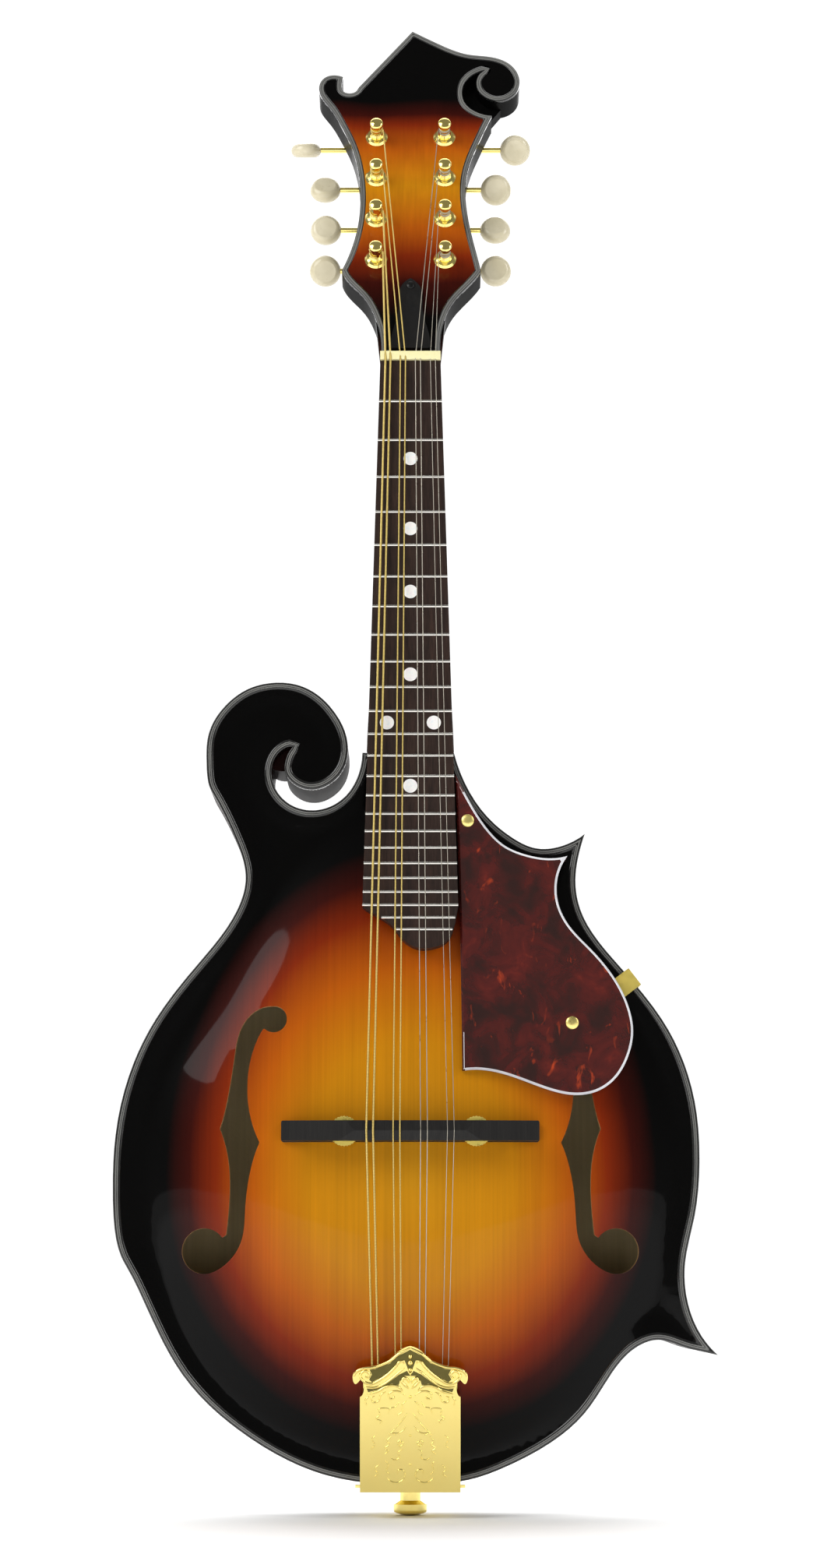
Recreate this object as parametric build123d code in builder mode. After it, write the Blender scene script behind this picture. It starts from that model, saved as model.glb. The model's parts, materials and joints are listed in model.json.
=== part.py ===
"""Eight-string mandolin with a scrolled, arched body, built piece by piece (millimetres).

Frame: the origin is on the fretboard's face at the front edge of the nut. +Z runs up the
neck, -Y is the front of the instrument and +X is the treble side. The neck leans back from
the body by NECK_PITCH, and the headstock leans back from the neck by HEAD_TILT.
"""
import os
from math import cos, radians, sin

from build123d import *

os.makedirs("parts", exist_ok=True)

# ---- driving dimensions --------------------------------------------------------------
SCALE = 352.4            # nut to bridge, 13 7/8 inches
FRETS = 24
NUT_WIDTH = 27.5
BOARD_TAPER = 0.0567     # growth of the board's width per millimetre of length
BOARD_THICK = 5.5
NECK_PITCH = 5.0         # degrees
HEAD_TILT = 11.0         # degrees, beyond the neck's own pitch
HEAD_THICK = 14.0        # face veneer included
VENEER = 2.0
JOIN_Z = -182.0          # where the neck meets the body

TOP_Y = -4.0             # outer face of the soundboard's rim
PLATE = 4.0              # thickness of the soundboard and the back
RIB_DEPTH = 34.0
RIB = 2.5                # thickness of the ribs
BINDING = 3.2            # width of the edge binding
BACK_Y = RIB_DEPTH + PLATE
TOP_RISE = 13.0
BACK_RISE = 12.0
ARCH_Z = -368.0          # height of the arch's centre on the body

NUT_LENGTH = 4.0
FRET_WIDTH = 1.3
FRET_HEIGHT = 0.9
DOT_R = 3.15

POST_X = 16.0            # tuner post columns, either side of the middle
POST_FIRST = 52.0        # first post, up the headstock from the nut
POST_STEP = 23.0         # standard spacing of four-on-a-plate machines
POST_R = 3.0
WAIST_R = 2.3
WORM_UP = 5.5            # worm shaft's distance above its post
WORM_H = -17.3           # worm shaft's depth behind the headstock face
SHAFT_R = 1.25
BUTTON_R = 7.3
BUTTON_THICK = 6.6
BUTTON_X = {1: 40.0, 2: 40.0, 3: 40.5, 4: 50.0}
BUTTON_TURN = {1: -37, 2: -10, 3: 13, 4: 53, 5: -20, 6: 8, 7: -33, 8: -40}

BRIDGE_LENGTH = 111.0
BRIDGE_WIDTH = 8.6
BRIDGE_POST_X = 28.5
WHEEL_R = 6.5
WHEEL_THICK = 2.6
WHEEL_GAP = 2.3          # how far the saddle can be lowered
BASE_TOP_Y = -22.5
STRING_AT_NUT = 1.3      # underside of the strings over the board
STRING_AT_BRIDGE = 3.4

STRING_R = {"g": 0.48, "d": 0.33, "a": 0.19, "e": 0.14}
COURSE_NUT = {"g": -10.2, "d": -3.4, "a": 3.4, "e": 10.2}
COURSE_BRIDGE = {"g": -17.4, "d": -5.9, "a": 5.9, "e": 17.4}
PAIR_NUT = 2.3
PAIR_BRIDGE = 2.9
HOOK_Z = -455.0
HOOK_Y = -16.0
HOOK_SPREAD = 0.86       # the hooks' spacing over the spacing at the bridge

COVER_WIDTH = 43.0
COVER_FOOT_Z = -504.0
SHEET = 0.9              # thickness of the tailpiece's metal
BUTTON_AXIS_Y = 16.0     # the end button's place in the ribs' depth
TAIL_Z = -501.5
END_PLATE = 1.2          # thickness of the tailpiece's end plate
TAIL_SCREW_X = 12.0
TAIL_SCREW_Y = 23.0

CLEAR = 0.05             # radial clearance of running fits
SCREW_R = 0.9


# ---- planes ----------------------------------------------------------------------------
def front(y, x=0.0, z=0.0):
    """A plane seen from the front: sketch x is X, sketch y is Z, extrusion comes forward."""
    return Plane(origin=(x, y, z), x_dir=(1, 0, 0), z_dir=(0, -1, 0))


def leaning(origin, degrees):
    """A front plane that leans back by some degrees."""
    angle = radians(degrees)
    return Plane(origin=origin, x_dir=(1, 0, 0), z_dir=(0, -cos(angle), sin(angle)))


BOARD = leaning((0, 0, 0), NECK_PITCH)
HEAD = leaning(BOARD.from_local_coords(Vector(0, NUT_LENGTH, -3.5)), NECK_PITCH + HEAD_TILT)


def board_point(x, below, height):
    """A point over the board: across, below the nut, and out of its face."""
    return BOARD.from_local_coords(Vector(x, -below, height))


def head_plane(x, up, height):
    """A plane parallel to the headstock face."""
    return Plane(origin=HEAD.from_local_coords(Vector(x, up, height)), x_dir=(1, 0, 0), z_dir=HEAD.z_dir)


def head_cross(x, up, height, side):
    """A plane across a worm shaft: its normal points out to one side of the headstock."""
    origin = HEAD.from_local_coords(Vector(x, up, height))
    return Plane(origin=origin, x_dir=HEAD.y_dir, z_dir=(side, 0, 0))


def neck_section(below):
    """A plane across the neck: sketch y is the depth behind the board's face."""
    return Plane(origin=board_point(0, below, 0), x_dir=(1, 0, 0), z_dir=BOARD.y_dir)


def board_width(below):
    return NUT_WIDTH + BOARD_TAPER * below


def fret_distance(number):
    return SCALE * (1 - 2 ** (-number / 12))


def finish(name, part):
    """Label a piece and write its file."""
    part.label = name
    export_step(part, f"parts/{name}.step")


# ---- body outline ----------------------------------------------------------------------
TREBLE_HORN = [(19.5, JOIN_Z), (25.5, -198), (34, -210.5), (45, -220), (56, -225), (67, -224), (77.5, -218.5)]
TREBLE_SIDE = [(77.5, -218.5), (74.5, -229), (73.2, -240), (75, -251.5), (91.5, -276.5), (113, -304.5),
               (125, -338.5), (126.5, -362.5), (124, -387), (119.5, -408), (120.5, -424), (133.3, -446.5)]
TAIL_SIDE = [(133.3, -446.5), (120, -443.5), (107, -440), (100, -442), (76, -470.5), (41, -494), (0, TAIL_Z)]
BASS_SIDE = [(0, TAIL_Z), (-41, -496), (-76, -477), (-101, -451.5), (-121, -413), (-130, -370)]
BASS_WAIST = [(-130, -370), (-127, -338.5), (-114, -304), (-93, -275.5), (-78.5, -256), (-73, -239),
              (-77, -222.5), (-87, -202), (-91, -181)]
SCROLL = [(-91, -181), (-84, -162), (-73.5, -153.4), (-60, -150.1), (-50, -151.3), (-41.3, -155.8),
          (-33.7, -163.8), (-29.3, -172), (-27.9, -181.6), (-30, -189.4), (-35.8, -195.8), (-43.5, -198.5),
          (-50.3, -196.9), (-55, -192.6), (-56, -187), (-54.3, -181.6), (-52.1, -179.1)]
SCROLL_SLOT = [(-52.1, -179.1), (-55.8, -179.8), (-59, -182.4), (-61.4, -187), (-61.8, -192.4),
               (-59.5, -199.3), (-53.7, -205.2), (-45.4, -207.9), (-36.7, -206.7), (-29, -201.7),
               (-23.9, -193.9), (-21.4, JOIN_Z)]
SLOT_TIP = (-57, -179.5)         # the slot's narrow end, closed behind the face within SLOT_TIP_R
SLOT_TIP_R = 9.5
SLOT_FLOOR_Y = 5.0

CORNER = 20.0            # degrees: a sharper turn than this is a corner of an outline
RUN_POINTS = 12          # points in one spline of a redrawn outline


def smooth_runs(wire, spacing=4.0):
    """A wire's points, in short runs that are also broken at every corner."""
    runs = []
    heading = None
    for edge in wire.order_edges():
        steps = max(3, int(edge.length / spacing))
        if heading is None or heading.get_angle(edge % 0) > CORNER or len(runs[-1]) >= RUN_POINTS:
            runs.append([edge @ 0])
        for step in range(1, steps + 1):
            if len(runs[-1]) >= RUN_POINTS and steps - step > 2:
                runs.append([runs[-1][-1]])
            runs[-1].append(edge @ (step / steps))
        heading = edge % 1
    return runs


def inset_face(outline, margin=0.0):
    """An outline drawn in by an even margin, its edges redrawn as short splines."""
    with BuildSketch(mode=Mode.PRIVATE) as drawn_in:
        add(outline)
        if margin:
            offset(amount=-margin, kind=Kind.ARC)
    with BuildSketch() as face:
        with BuildLine():
            for run in smooth_runs(drawn_in.sketch.faces()[0].outer_wire()):
                Spline(*run)
        make_face()
    return face.sketch


with BuildSketch() as body_outline:
    with BuildLine():
        Spline(*TREBLE_HORN)
        Spline(*TREBLE_SIDE)
        Spline(*TAIL_SIDE, tangents=((-0.95, 0.3), (-1, 0)))
        Spline(*BASS_SIDE, tangents=((-1, 0), (0, 1)))
        Spline(*BASS_WAIST, tangents=((0, 1), (0, 1)))
        Spline(*SCROLL, tangents=((0, 1), (0.66, 0.75)))
        Spline(*SCROLL_SLOT)
        Line(SCROLL_SLOT[-1], TREBLE_HORN[0])
    make_face()


OUTLINE = inset_face(body_outline.sketch)
PLATE_FACE = inset_face(body_outline.sketch, BINDING)
INSIDE_FACE = inset_face(body_outline.sketch, RIB)
LINING_FACE = inset_face(body_outline.sketch, RIB + 4.5)

# The arch: an egg-shaped section, shrunk as it rises (shrink, share of the rise).
EGG = [(0, -119), (58, -103), (97, -58), (110, -4), (98, 52), (70, 97), (48, 130), (24, 150)]
ARCH_STEPS = [(1.0, 0.0), (0.94, 0.2), (0.82, 0.5), (0.64, 0.77), (0.42, 0.93), (0.16, 1.0)]


def arch(edge_y, rise):
    """The domed middle of a plate. A negative rise comes forward, a positive one goes back."""
    right = EGG[1:]
    left = [(-x, z) for x, z in reversed(right)]
    with BuildPart() as dome:
        for shrink, share in ARCH_STEPS:
            with BuildSketch(front(edge_y + rise * share, 0, ARCH_Z)):
                with BuildLine():
                    points = [EGG[0]] + right + [(0, 154)] + left
                    Spline(*[(x * shrink, z * shrink) for x, z in points], periodic=True)
                make_face()
        loft()
    return dome.part


TOP_ARCH = arch(TOP_Y, -TOP_RISE)
TOP_HOLLOW = arch(TOP_Y + PLATE, -TOP_RISE)
BACK_ARCH = arch(BACK_Y, BACK_RISE)
BACK_HOLLOW = arch(BACK_Y - PLATE, BACK_RISE)


def f_hole(side):
    """A sound hole: two round eyes joined by a stem with a nick each side."""
    with BuildSketch() as hole:
        with BuildLine():
            Spline((-61, -295.7), (-68, -297.8), (-73.6, -304), (-77, -318), (-79.5, -335), (-83, -349.3))
            Spline((-83, -349.3), (-79.4, -361), (-78.3, -375), (-79.8, -395))
            Line((-79.8, -395), (-89.5, -402))
            Line((-89.5, -402), (-87.5, -411.7))
            Spline((-87.5, -411.7), (-78.4, -406.2), (-73.6, -399), (-71.5, -383.5), (-69.5, -368),
                   (-65.5, -355.4))
            Spline((-65.5, -355.4), (-70.3, -341), (-71, -328), (-69, -316), (-65, -306.5))
            Line((-65, -306.5), (-59.8, -301.5))
            Line((-59.8, -301.5), (-61, -295.7))
        make_face()
        with Locations((-59.8, -301.5)):
            Circle(5.8)
        with Locations((-89.5, -402)):
            Circle(9.8)
    if side > 0:
        return mirror(hole.sketch, about=Plane.YZ)
    return hole.sketch


def tail_plane():
    """The tailpiece's end plate: sketch x is X, sketch y is Y, extrusion goes up."""
    return Plane(origin=(0, 0, TAIL_Z - END_PLATE), x_dir=(1, 0, 0), z_dir=(0, 0, 1))


with BuildSketch() as tail_holes:
    with Locations((0, BUTTON_AXIS_Y)):
        Circle(4)
    with Locations((-TAIL_SCREW_X, TAIL_SCREW_Y), (TAIL_SCREW_X, TAIL_SCREW_Y)):
        Circle(SCREW_R)
TAIL_HOLES = tail_holes.sketch

# ---- soundboard and back ---------------------------------------------------------------
with BuildPart() as soundboard:
    with BuildSketch(front(TOP_Y + PLATE)):
        add(PLATE_FACE)
    extrude(amount=PLATE)
    add(TOP_ARCH)
    add(TOP_HOLLOW, mode=Mode.SUBTRACT)
    with BuildSketch(front(TOP_Y + PLATE)):
        add(f_hole(-1))
        add(f_hole(1))
    extrude(amount=30, mode=Mode.SUBTRACT)
finish("soundboard", soundboard.part)

with BuildPart() as back_plate:
    with BuildSketch(front(BACK_Y)):
        add(PLATE_FACE)
    extrude(amount=PLATE)
    add(BACK_ARCH)
    add(BACK_HOLLOW, mode=Mode.SUBTRACT)
finish("back_plate", back_plate.part)

# ---- rim: ribs, bindings, linings and blocks -------------------------------------------
with BuildPart() as ribs:
    with BuildSketch(front(RIB_DEPTH)):
        add(OUTLINE)
        add(INSIDE_FACE, mode=Mode.SUBTRACT)
    extrude(amount=RIB_DEPTH)
    with BuildSketch(front(RIB_DEPTH)):
        with Locations(SLOT_TIP):
            Circle(SLOT_TIP_R)
        add(OUTLINE, mode=Mode.SUBTRACT)
    extrude(amount=RIB_DEPTH - SLOT_FLOOR_Y)
    with BuildSketch(tail_plane()):
        add(TAIL_HOLES)
    extrude(amount=10, mode=Mode.SUBTRACT)
finish("ribs", ribs.part)

for binding_name, binding_back in (("top_binding", TOP_Y + PLATE), ("back_binding", BACK_Y)):
    with BuildPart() as binding:
        with BuildSketch(front(binding_back)):
            add(OUTLINE)
            add(PLATE_FACE, mode=Mode.SUBTRACT)
        extrude(amount=PLATE)
    finish(binding_name, binding.part)


def block_region(name):
    """Where each block fills the rim, seen from the front."""
    with BuildSketch() as region:
        if name == "head_block":
            with Locations((-30, -190)):
                Rectangle(130, 96)
        elif name == "tail_block":
            with Locations((0, -493)):
                Rectangle(60, 24)
        else:
            with Locations((70, -226)):
                Rectangle(24, 24)
            with Locations((122, -434)):
                Rectangle(30, 34)
    return region.sketch


for block_name in ("head_block", "tail_block", "point_blocks"):
    with BuildPart() as block:
        with BuildSketch(front(RIB_DEPTH)):
            add(INSIDE_FACE)
            add(block_region(block_name), mode=Mode.INTERSECT)
        extrude(amount=RIB_DEPTH)
        if block_name == "tail_block":
            with BuildSketch(tail_plane()):
                add(TAIL_HOLES)
            extrude(amount=22, mode=Mode.SUBTRACT)
    finish(block_name, block.part)

LINING_DEPTH = 6.0
with BuildPart() as linings:
    for lining_back in (LINING_DEPTH, RIB_DEPTH):
        with BuildSketch(front(lining_back)):
            add(INSIDE_FACE)
            add(LINING_FACE, mode=Mode.SUBTRACT)
            for block_name in ("head_block", "tail_block", "point_blocks"):
                add(block_region(block_name), mode=Mode.SUBTRACT)
        extrude(amount=LINING_DEPTH)
finish("linings", linings.part)

BAR_DEPTH = 9.0
BAR_WIDTH = 6.0
BAR_LENGTH = 170.0
BAR_Z = -345.0           # height of the bars' middle on the body
with BuildPart() as tone_bars:
    for bar_x, bar_lean in ((-30, 4), (34, -4)):
        across = (cos(radians(bar_lean)), 0, sin(radians(bar_lean)))
        middle = (bar_x, TOP_Y + PLATE, BAR_Z)
        with BuildSketch(Plane(origin=middle, x_dir=across, z_dir=(0, -1, 0))):
            Rectangle(BAR_WIDTH, BAR_LENGTH)
        extrude(amount=TOP_RISE + 2)
    add(TOP_HOLLOW, mode=Mode.INTERSECT)
    add(TOP_HOLLOW.moved(Location((0, BAR_DEPTH, 0))), mode=Mode.SUBTRACT)
finish("tone_bars", tone_bars.part)

# ---- headstock outline -------------------------------------------------------------------
HEAD_CHEEK_L = [(-13.5, 0), (-14, 12), (-16.7, 22), (-21.7, 32), (-29.5, 41.5), (-31.8, 46.5)]
HEAD_SIDE_L = [(-31.8, 46.5), (-29, 53.5), (-25, 68.5), (-23.5, 84), (-24.6, 102), (-28, 116.5), (-33, 128.5),
               (-38.5, 139), (-43.4, 147.6), (-42.1, 155.1), (-39, 157.3), (-35.6, 157.6), (-32.3, 156.6)]
HEAD_HOOK = [(-32.3, 156.6), (-32.9, 153.3), (-32.6, 149.8), (-30.8, 146.9), (-28.2, 147.1), (-25.1, 150)]
HEAD_PEAK = (0.9, 183.5)
HEAD_SCROLL = [(0.9, 183.5), (14.5, 175.5), (28, 169.8), (39, 168.3), (47.7, 164), (52, 155.5), (50.6, 148),
               (46.5, 144), (40.5, 142.7), (34.5, 145.6), (31.4, 151.3), (32.2, 157), (35.7, 160.6)]
HEAD_NOTCH = [(35.7, 160.6), (29.9, 157.9), (25.9, 153.1), (24.7, 147.4), (26, 141.3), (30.7, 136.5),
              (38.6, 134)]
HEAD_SIDE_R = [(38.6, 134), (36.2, 128.5), (32, 118), (28.1, 107), (26.1, 97), (25.8, 87), (26.8, 76.5),
               (28.9, 64), (31.2, 53.5), (32.6, 46)]
HEAD_CHEEK_R = [(32.6, 46), (26, 37), (20.7, 30.5), (16.4, 22), (14, 11), (13.5, 0)]


with BuildSketch() as head_outline:
    with BuildLine():
        Spline(*HEAD_CHEEK_L)
        Spline(*HEAD_SIDE_L)
        Spline(*HEAD_HOOK)
        Line(HEAD_HOOK[-1], HEAD_PEAK)
        Spline(*HEAD_SCROLL)
        Spline(*HEAD_NOTCH)
        Spline(*HEAD_SIDE_R)
        Spline(*HEAD_CHEEK_R)
        Line(HEAD_CHEEK_R[-1], HEAD_CHEEK_L[0])
    make_face()
# The web that closes the headstock's notch, behind a floor WEB_DEEP under the face.
HEAD_WEB = [(37.6, 135), (45.5, 146), (40, 150), (33, 161), (23, 156), (23, 140), (30, 134.5)]
WEB_DEEP = 7.5

HEAD_BINDING = 2.6
HEAD_OUTLINE = inset_face(head_outline.sketch)
VENEER_FACE = inset_face(head_outline.sketch, HEAD_BINDING)

TUNERS = [(side, row) for side in (-1, 1) for row in (1, 2, 3, 4)]


def tuner_number(side, row):
    """Tuners 1 to 4 climb the bass side and 5 to 8 the treble side."""
    return row if side < 0 else row + 4


def post_up(row):
    return POST_FIRST + POST_STEP * (row - 1)


BORE_R = 4.0
BACK_FACE = -HEAD_THICK
COVER_SCREW_UP = 37.0
PLATE_SCREW_UPS = [post_up(1) - 9.5] + [post_up(row) + 13.6 for row in (1, 2, 3)] + [post_up(4) + 11]

# ---- neck --------------------------------------------------------------------------------
TRUSS_R = 2.5
TRUSS_DEPTH = 12.0       # rod's centre behind the board's face
SHAFT_SECTIONS = [(0, 13.8), (60, 14.2), (148, 15.8)]
HEEL_SECTIONS = [(148, 15.8, 0.43), (164, 20.5, 0.43), (174, 29, 0.42), (180, 38, 0.40), (187, 42, 0.40)]


def neck_profile(below, depth, cheek=0.43):
    """A D-shaped section whose flat side lies under the board."""
    half = board_width(below) / 2
    bottom = BOARD_THICK + depth
    with BuildSketch(neck_section(below)) as section:
        with BuildLine():
            right = (half * cheek * 2, BOARD_THICK + depth * 0.55)
            left = (-right[0], right[1])
            Spline((half, BOARD_THICK), right, (0, bottom), left, (-half, BOARD_THICK))
            Line((-half, BOARD_THICK), (half, BOARD_THICK))
        make_face()
    return section.sketch


with BuildPart() as neck_shaft:
    for below, depth in SHAFT_SECTIONS:
        add(neck_profile(below, depth))
    loft()

with BuildPart() as neck_heel:
    for below, depth, cheek in HEEL_SECTIONS:
        add(neck_profile(below, depth, cheek))
    loft()
    with BuildSketch(Plane.XY.offset(JOIN_Z)):
        Rectangle(100, 200)
    extrude(amount=-60, mode=Mode.SUBTRACT)

VOLUTE_UP = 20.0
with BuildPart() as volute:
    add(neck_profile(0, 13.8))
    volute_end = HEAD.from_local_coords(Vector(0, VOLUTE_UP, 0))
    with BuildSketch(Plane(origin=volute_end, x_dir=(1, 0, 0), z_dir=HEAD.y_dir)):
        with BuildLine():
            Spline((15.9, VENEER), (14.5, 10), (0, HEAD_THICK), (-14.5, 10), (-15.9, VENEER))
            Line((-15.9, VENEER), (15.9, VENEER))
        make_face()
    loft()

# The tongue under the board's extension, whose end follows the board's slanted one.
TONGUE = [(18.5, -178), (20, -253), (9, -266), (-12, -258), (-20, -253), (-18.5, -178)]
TONGUE_THICK = 3.6
ROD_LENGTH = 172.0       # from the nut to the rod's lower end
ROD_NUT_ROOM = 4.6       # radius of the recess around the rod's nut, beyond the board's end
with BuildPart() as neck:
    add(neck_shaft.part)
    add(neck_heel.part)
    add(volute.part)
    with BuildSketch(head_plane(0, 0, BACK_FACE)):
        add(HEAD_OUTLINE)
    extrude(amount=HEAD_THICK - VENEER)
    with BuildSketch(head_plane(0, 0, BACK_FACE)):
        Polygon(*HEAD_WEB, align=None)
        add(HEAD_OUTLINE, mode=Mode.SUBTRACT)
    extrude(amount=HEAD_THICK - WEB_DEEP)
    with BuildSketch(BOARD.offset(-BOARD_THICK)):
        Polygon(*TONGUE, align=None)
    extrude(amount=-TONGUE_THICK)
    # Seat for the nut and room for the truss rod, its nut and the wrench.
    with BuildSketch(BOARD.offset(-BOARD_THICK)):
        with Locations((0, NUT_LENGTH / 2)):
            Rectangle(60, NUT_LENGTH)
    extrude(amount=20, mode=Mode.SUBTRACT)
    with BuildSketch(neck_section(ROD_LENGTH)):
        with Locations((0, TRUSS_DEPTH)):
            Circle(TRUSS_R)
    extrude(amount=ROD_LENGTH - 2, mode=Mode.SUBTRACT)
    with BuildSketch(neck_section(2)):
        with Locations((0, TRUSS_DEPTH)):
            Circle(ROD_NUT_ROOM)
    extrude(amount=26, mode=Mode.SUBTRACT)
    for side, row in TUNERS:
        with BuildSketch(head_plane(side * POST_X, post_up(row), 1)):
            Circle(BORE_R)
        extrude(amount=-HEAD_THICK - 2, mode=Mode.SUBTRACT)
    for side in (-1, 1):
        for up in PLATE_SCREW_UPS:
            with BuildSketch(head_plane(side * POST_X, up, BACK_FACE)):
                Circle(SCREW_R)
            extrude(amount=6, mode=Mode.SUBTRACT)
    with BuildSketch(head_plane(0, COVER_SCREW_UP, 0)):
        Circle(SCREW_R)
    extrude(amount=-8, mode=Mode.SUBTRACT)
finish("neck", neck.part)

with BuildPart() as truss_rod:
    with BuildSketch(neck_section(ROD_LENGTH - 2)):
        with Locations((0, TRUSS_DEPTH)):
            Circle(TRUSS_R - CLEAR)
    extrude(amount=ROD_LENGTH - 1)
    with BuildSketch(neck_section(1)):
        with Locations((0, TRUSS_DEPTH)):
            RegularPolygon(radius=4.0, side_count=6)
            Circle(TRUSS_R - CLEAR, mode=Mode.SUBTRACT)
    extrude(amount=9)
finish("truss_rod", truss_rod.part)

# ---- headstock face ----------------------------------------------------------------------
POCKET = (9.2, 26.0)     # opening over the truss rod's nut: width and length
with BuildPart() as headstock_veneer:
    with BuildSketch(head_plane(0, 0, -VENEER)):
        add(VENEER_FACE)
        with Locations((0, POCKET[1] / 2)):
            Rectangle(POCKET[0], POCKET[1], mode=Mode.SUBTRACT)
        with Locations((0, COVER_SCREW_UP)):
            Circle(SCREW_R, mode=Mode.SUBTRACT)
        for side, row in TUNERS:
            with Locations((side * POST_X, post_up(row))):
                Circle(BORE_R, mode=Mode.SUBTRACT)
    extrude(amount=VENEER)
finish("headstock_veneer", headstock_veneer.part)

with BuildPart() as headstock_binding:
    with BuildSketch(head_plane(0, 0, -VENEER)):
        add(HEAD_OUTLINE)
        add(VENEER_FACE, mode=Mode.SUBTRACT)
    extrude(amount=VENEER)
    with BuildSketch(BOARD.offset(-BOARD_THICK)):
        with Locations((0, 0)):
            Rectangle(60, 2 * NUT_LENGTH)
    extrude(amount=20, mode=Mode.SUBTRACT)
finish("headstock_binding", headstock_binding.part)

COVER_THICK = 1.5
with BuildPart() as truss_rod_cover:
    with BuildSketch(head_plane(0, 0, 0)):
        with BuildLine():
            Spline((9, 3), (8.6, 10), (5.5, 24), (5.2, 34), (0, 41))
            mirror(about=Plane.YZ)
            Line((-9, 3), (9, 3))
        make_face()
        with Locations((0, COVER_SCREW_UP)):
            Circle(SCREW_R, mode=Mode.SUBTRACT)
    extrude(amount=COVER_THICK)
finish("truss_rod_cover", truss_rod_cover.part)

# ---- fretboard, frets, dots and nut ------------------------------------------------------
BOARD_END = 272.7        # tip of the board's extension
SCOOP = 254.0            # where the extension starts to narrow
DOT_PLACES = [(0, 3), (0, 5), (0, 7), (0, 10), (-10.4, 12), (10.4, 12), (0, 15)]


def dot_distance(number):
    return (fret_distance(number) + fret_distance(number - 1)) / 2


def fret_span(number):
    """Left and right ends of a fret, shortened over the extension's curved end."""
    half = board_width(fret_distance(number)) / 2
    if number == 23:
        return -12.6, 19.6
    if number == 24:
        return -6.2, 18.4
    return -half, half


with BuildPart() as fretboard:
    with BuildSketch(BOARD):
        with BuildLine():
            half_end = board_width(SCOOP) / 2
            Line((-NUT_WIDTH / 2, 0), (-half_end, -SCOOP))
            Spline((-half_end, -SCOOP), (-17.1, -256.7), (-11.5, -259.9), (-7.4, -263.3), (-4.2, -267.6),
                   (-1, -270.6), (3.2, -272.5), (7.4, -BOARD_END))
            Spline((7.4, -BOARD_END), (11.6, -271.9), (15.8, -269.6), (18.1, -266), (19.5, -261.5),
                   (half_end, -SCOOP))
            Line((half_end, -SCOOP), (NUT_WIDTH / 2, 0))
            Line((NUT_WIDTH / 2, 0), (-NUT_WIDTH / 2, 0))
        make_face()
    extrude(amount=-BOARD_THICK)
    with BuildSketch(BOARD):
        for x, number in DOT_PLACES:
            with Locations((x, -dot_distance(number))):
                Circle(DOT_R)
    extrude(amount=-1.5, mode=Mode.SUBTRACT)
    for number in range(1, FRETS + 1):
        with BuildSketch(BOARD):
            with Locations((0, -fret_distance(number))):
                Rectangle(60, 0.5)
        extrude(amount=-1.6, mode=Mode.SUBTRACT)
finish("fretboard", fretboard.part)

with BuildPart() as frets:
    for number in range(1, FRETS + 1):
        low_x, high_x = fret_span(number)
        crown = Plane(origin=board_point(low_x, fret_distance(number), 0), x_dir=BOARD.y_dir, z_dir=(1, 0, 0))
        with BuildSketch(crown):
            with BuildLine():
                ThreePointArc((FRET_WIDTH / 2, 0), (0, FRET_HEIGHT), (-FRET_WIDTH / 2, 0))
                Polyline((-FRET_WIDTH / 2, 0), (-0.25, 0), (-0.25, -1.5), (0.25, -1.5), (0.25, 0),
                         (FRET_WIDTH / 2, 0))
            make_face()
        extrude(amount=high_x - low_x)
finish("frets", frets.part)

with BuildPart() as position_dots:
    with BuildSketch(BOARD):
        for x, number in DOT_PLACES:
            with Locations((x, -dot_distance(number))):
                Circle(DOT_R)
    extrude(amount=-1.5)
finish("position_dots", position_dots.part)


# ---- strings -----------------------------------------------------------------------------
def string_route(course, lane):
    """From the tailpiece hook over the bridge and the nut to its tuner post."""
    radius = STRING_R[course]
    nut_x = COURSE_NUT[course] + lane * PAIR_NUT / 2
    bridge_x = COURSE_BRIDGE[course] + lane * PAIR_BRIDGE / 2
    side = -1 if course in "gd" else 1
    outer = lane == side
    row = {"g": (2, 1), "e": (2, 1), "d": (4, 3), "a": (4, 3)}[course][1 if outer else 0]
    beside = POST_X - WAIST_R - radius - 0.35
    return [
        Vector(bridge_x * HOOK_SPREAD, HOOK_Y, HOOK_Z),
        board_point(bridge_x, SCALE, STRING_AT_BRIDGE + radius),
        board_point(nut_x, -0.6, STRING_AT_NUT + radius),
        HEAD.from_local_coords(Vector(side * beside, post_up(row), 6.6)),
    ]


SADDLE_BEND = 4.0
COURSES = ("g", "d", "a", "e")
for course in COURSES:
    with BuildPart() as pair:
        for lane in (-1, 1):
            with BuildLine() as route:
                FilletPolyline(*string_route(course, lane), radius=SADDLE_BEND)
            with BuildSketch(Plane(origin=route.line @ 0, z_dir=route.line % 0)):
                Circle(STRING_R[course])
            sweep(path=route.line)
    finish(f"strings_{course}", pair.part)


def string_grooves(slack):
    """Rods a little thicker than the strings, which cut their grooves in nut and saddle."""
    with BuildPart() as rods:
        for course in COURSES:
            for lane in (-1, 1):
                points = string_route(course, lane)
                for start, end in zip(points[:-1], points[1:]):
                    direction = end - start
                    with BuildSketch(Plane(origin=start - direction.normalized() * 0.8, z_dir=direction)):
                        Circle(STRING_R[course] + slack)
                    extrude(amount=direction.length + 1.6)
    return rods.part


GROOVES = string_grooves(0.08)

with BuildPart() as nut:
    with BuildSketch(BOARD.offset(-BOARD_THICK)):
        with Locations((0, NUT_LENGTH / 2)):
            Rectangle(NUT_WIDTH, NUT_LENGTH)
    extrude(amount=BOARD_THICK + STRING_AT_NUT + 0.5)
    fillet(nut.edges().filter_by(Axis.X).group_by(Axis.Y)[0], 0.6)
    add(GROOVES, mode=Mode.SUBTRACT)
finish("nut", nut.part)

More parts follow.
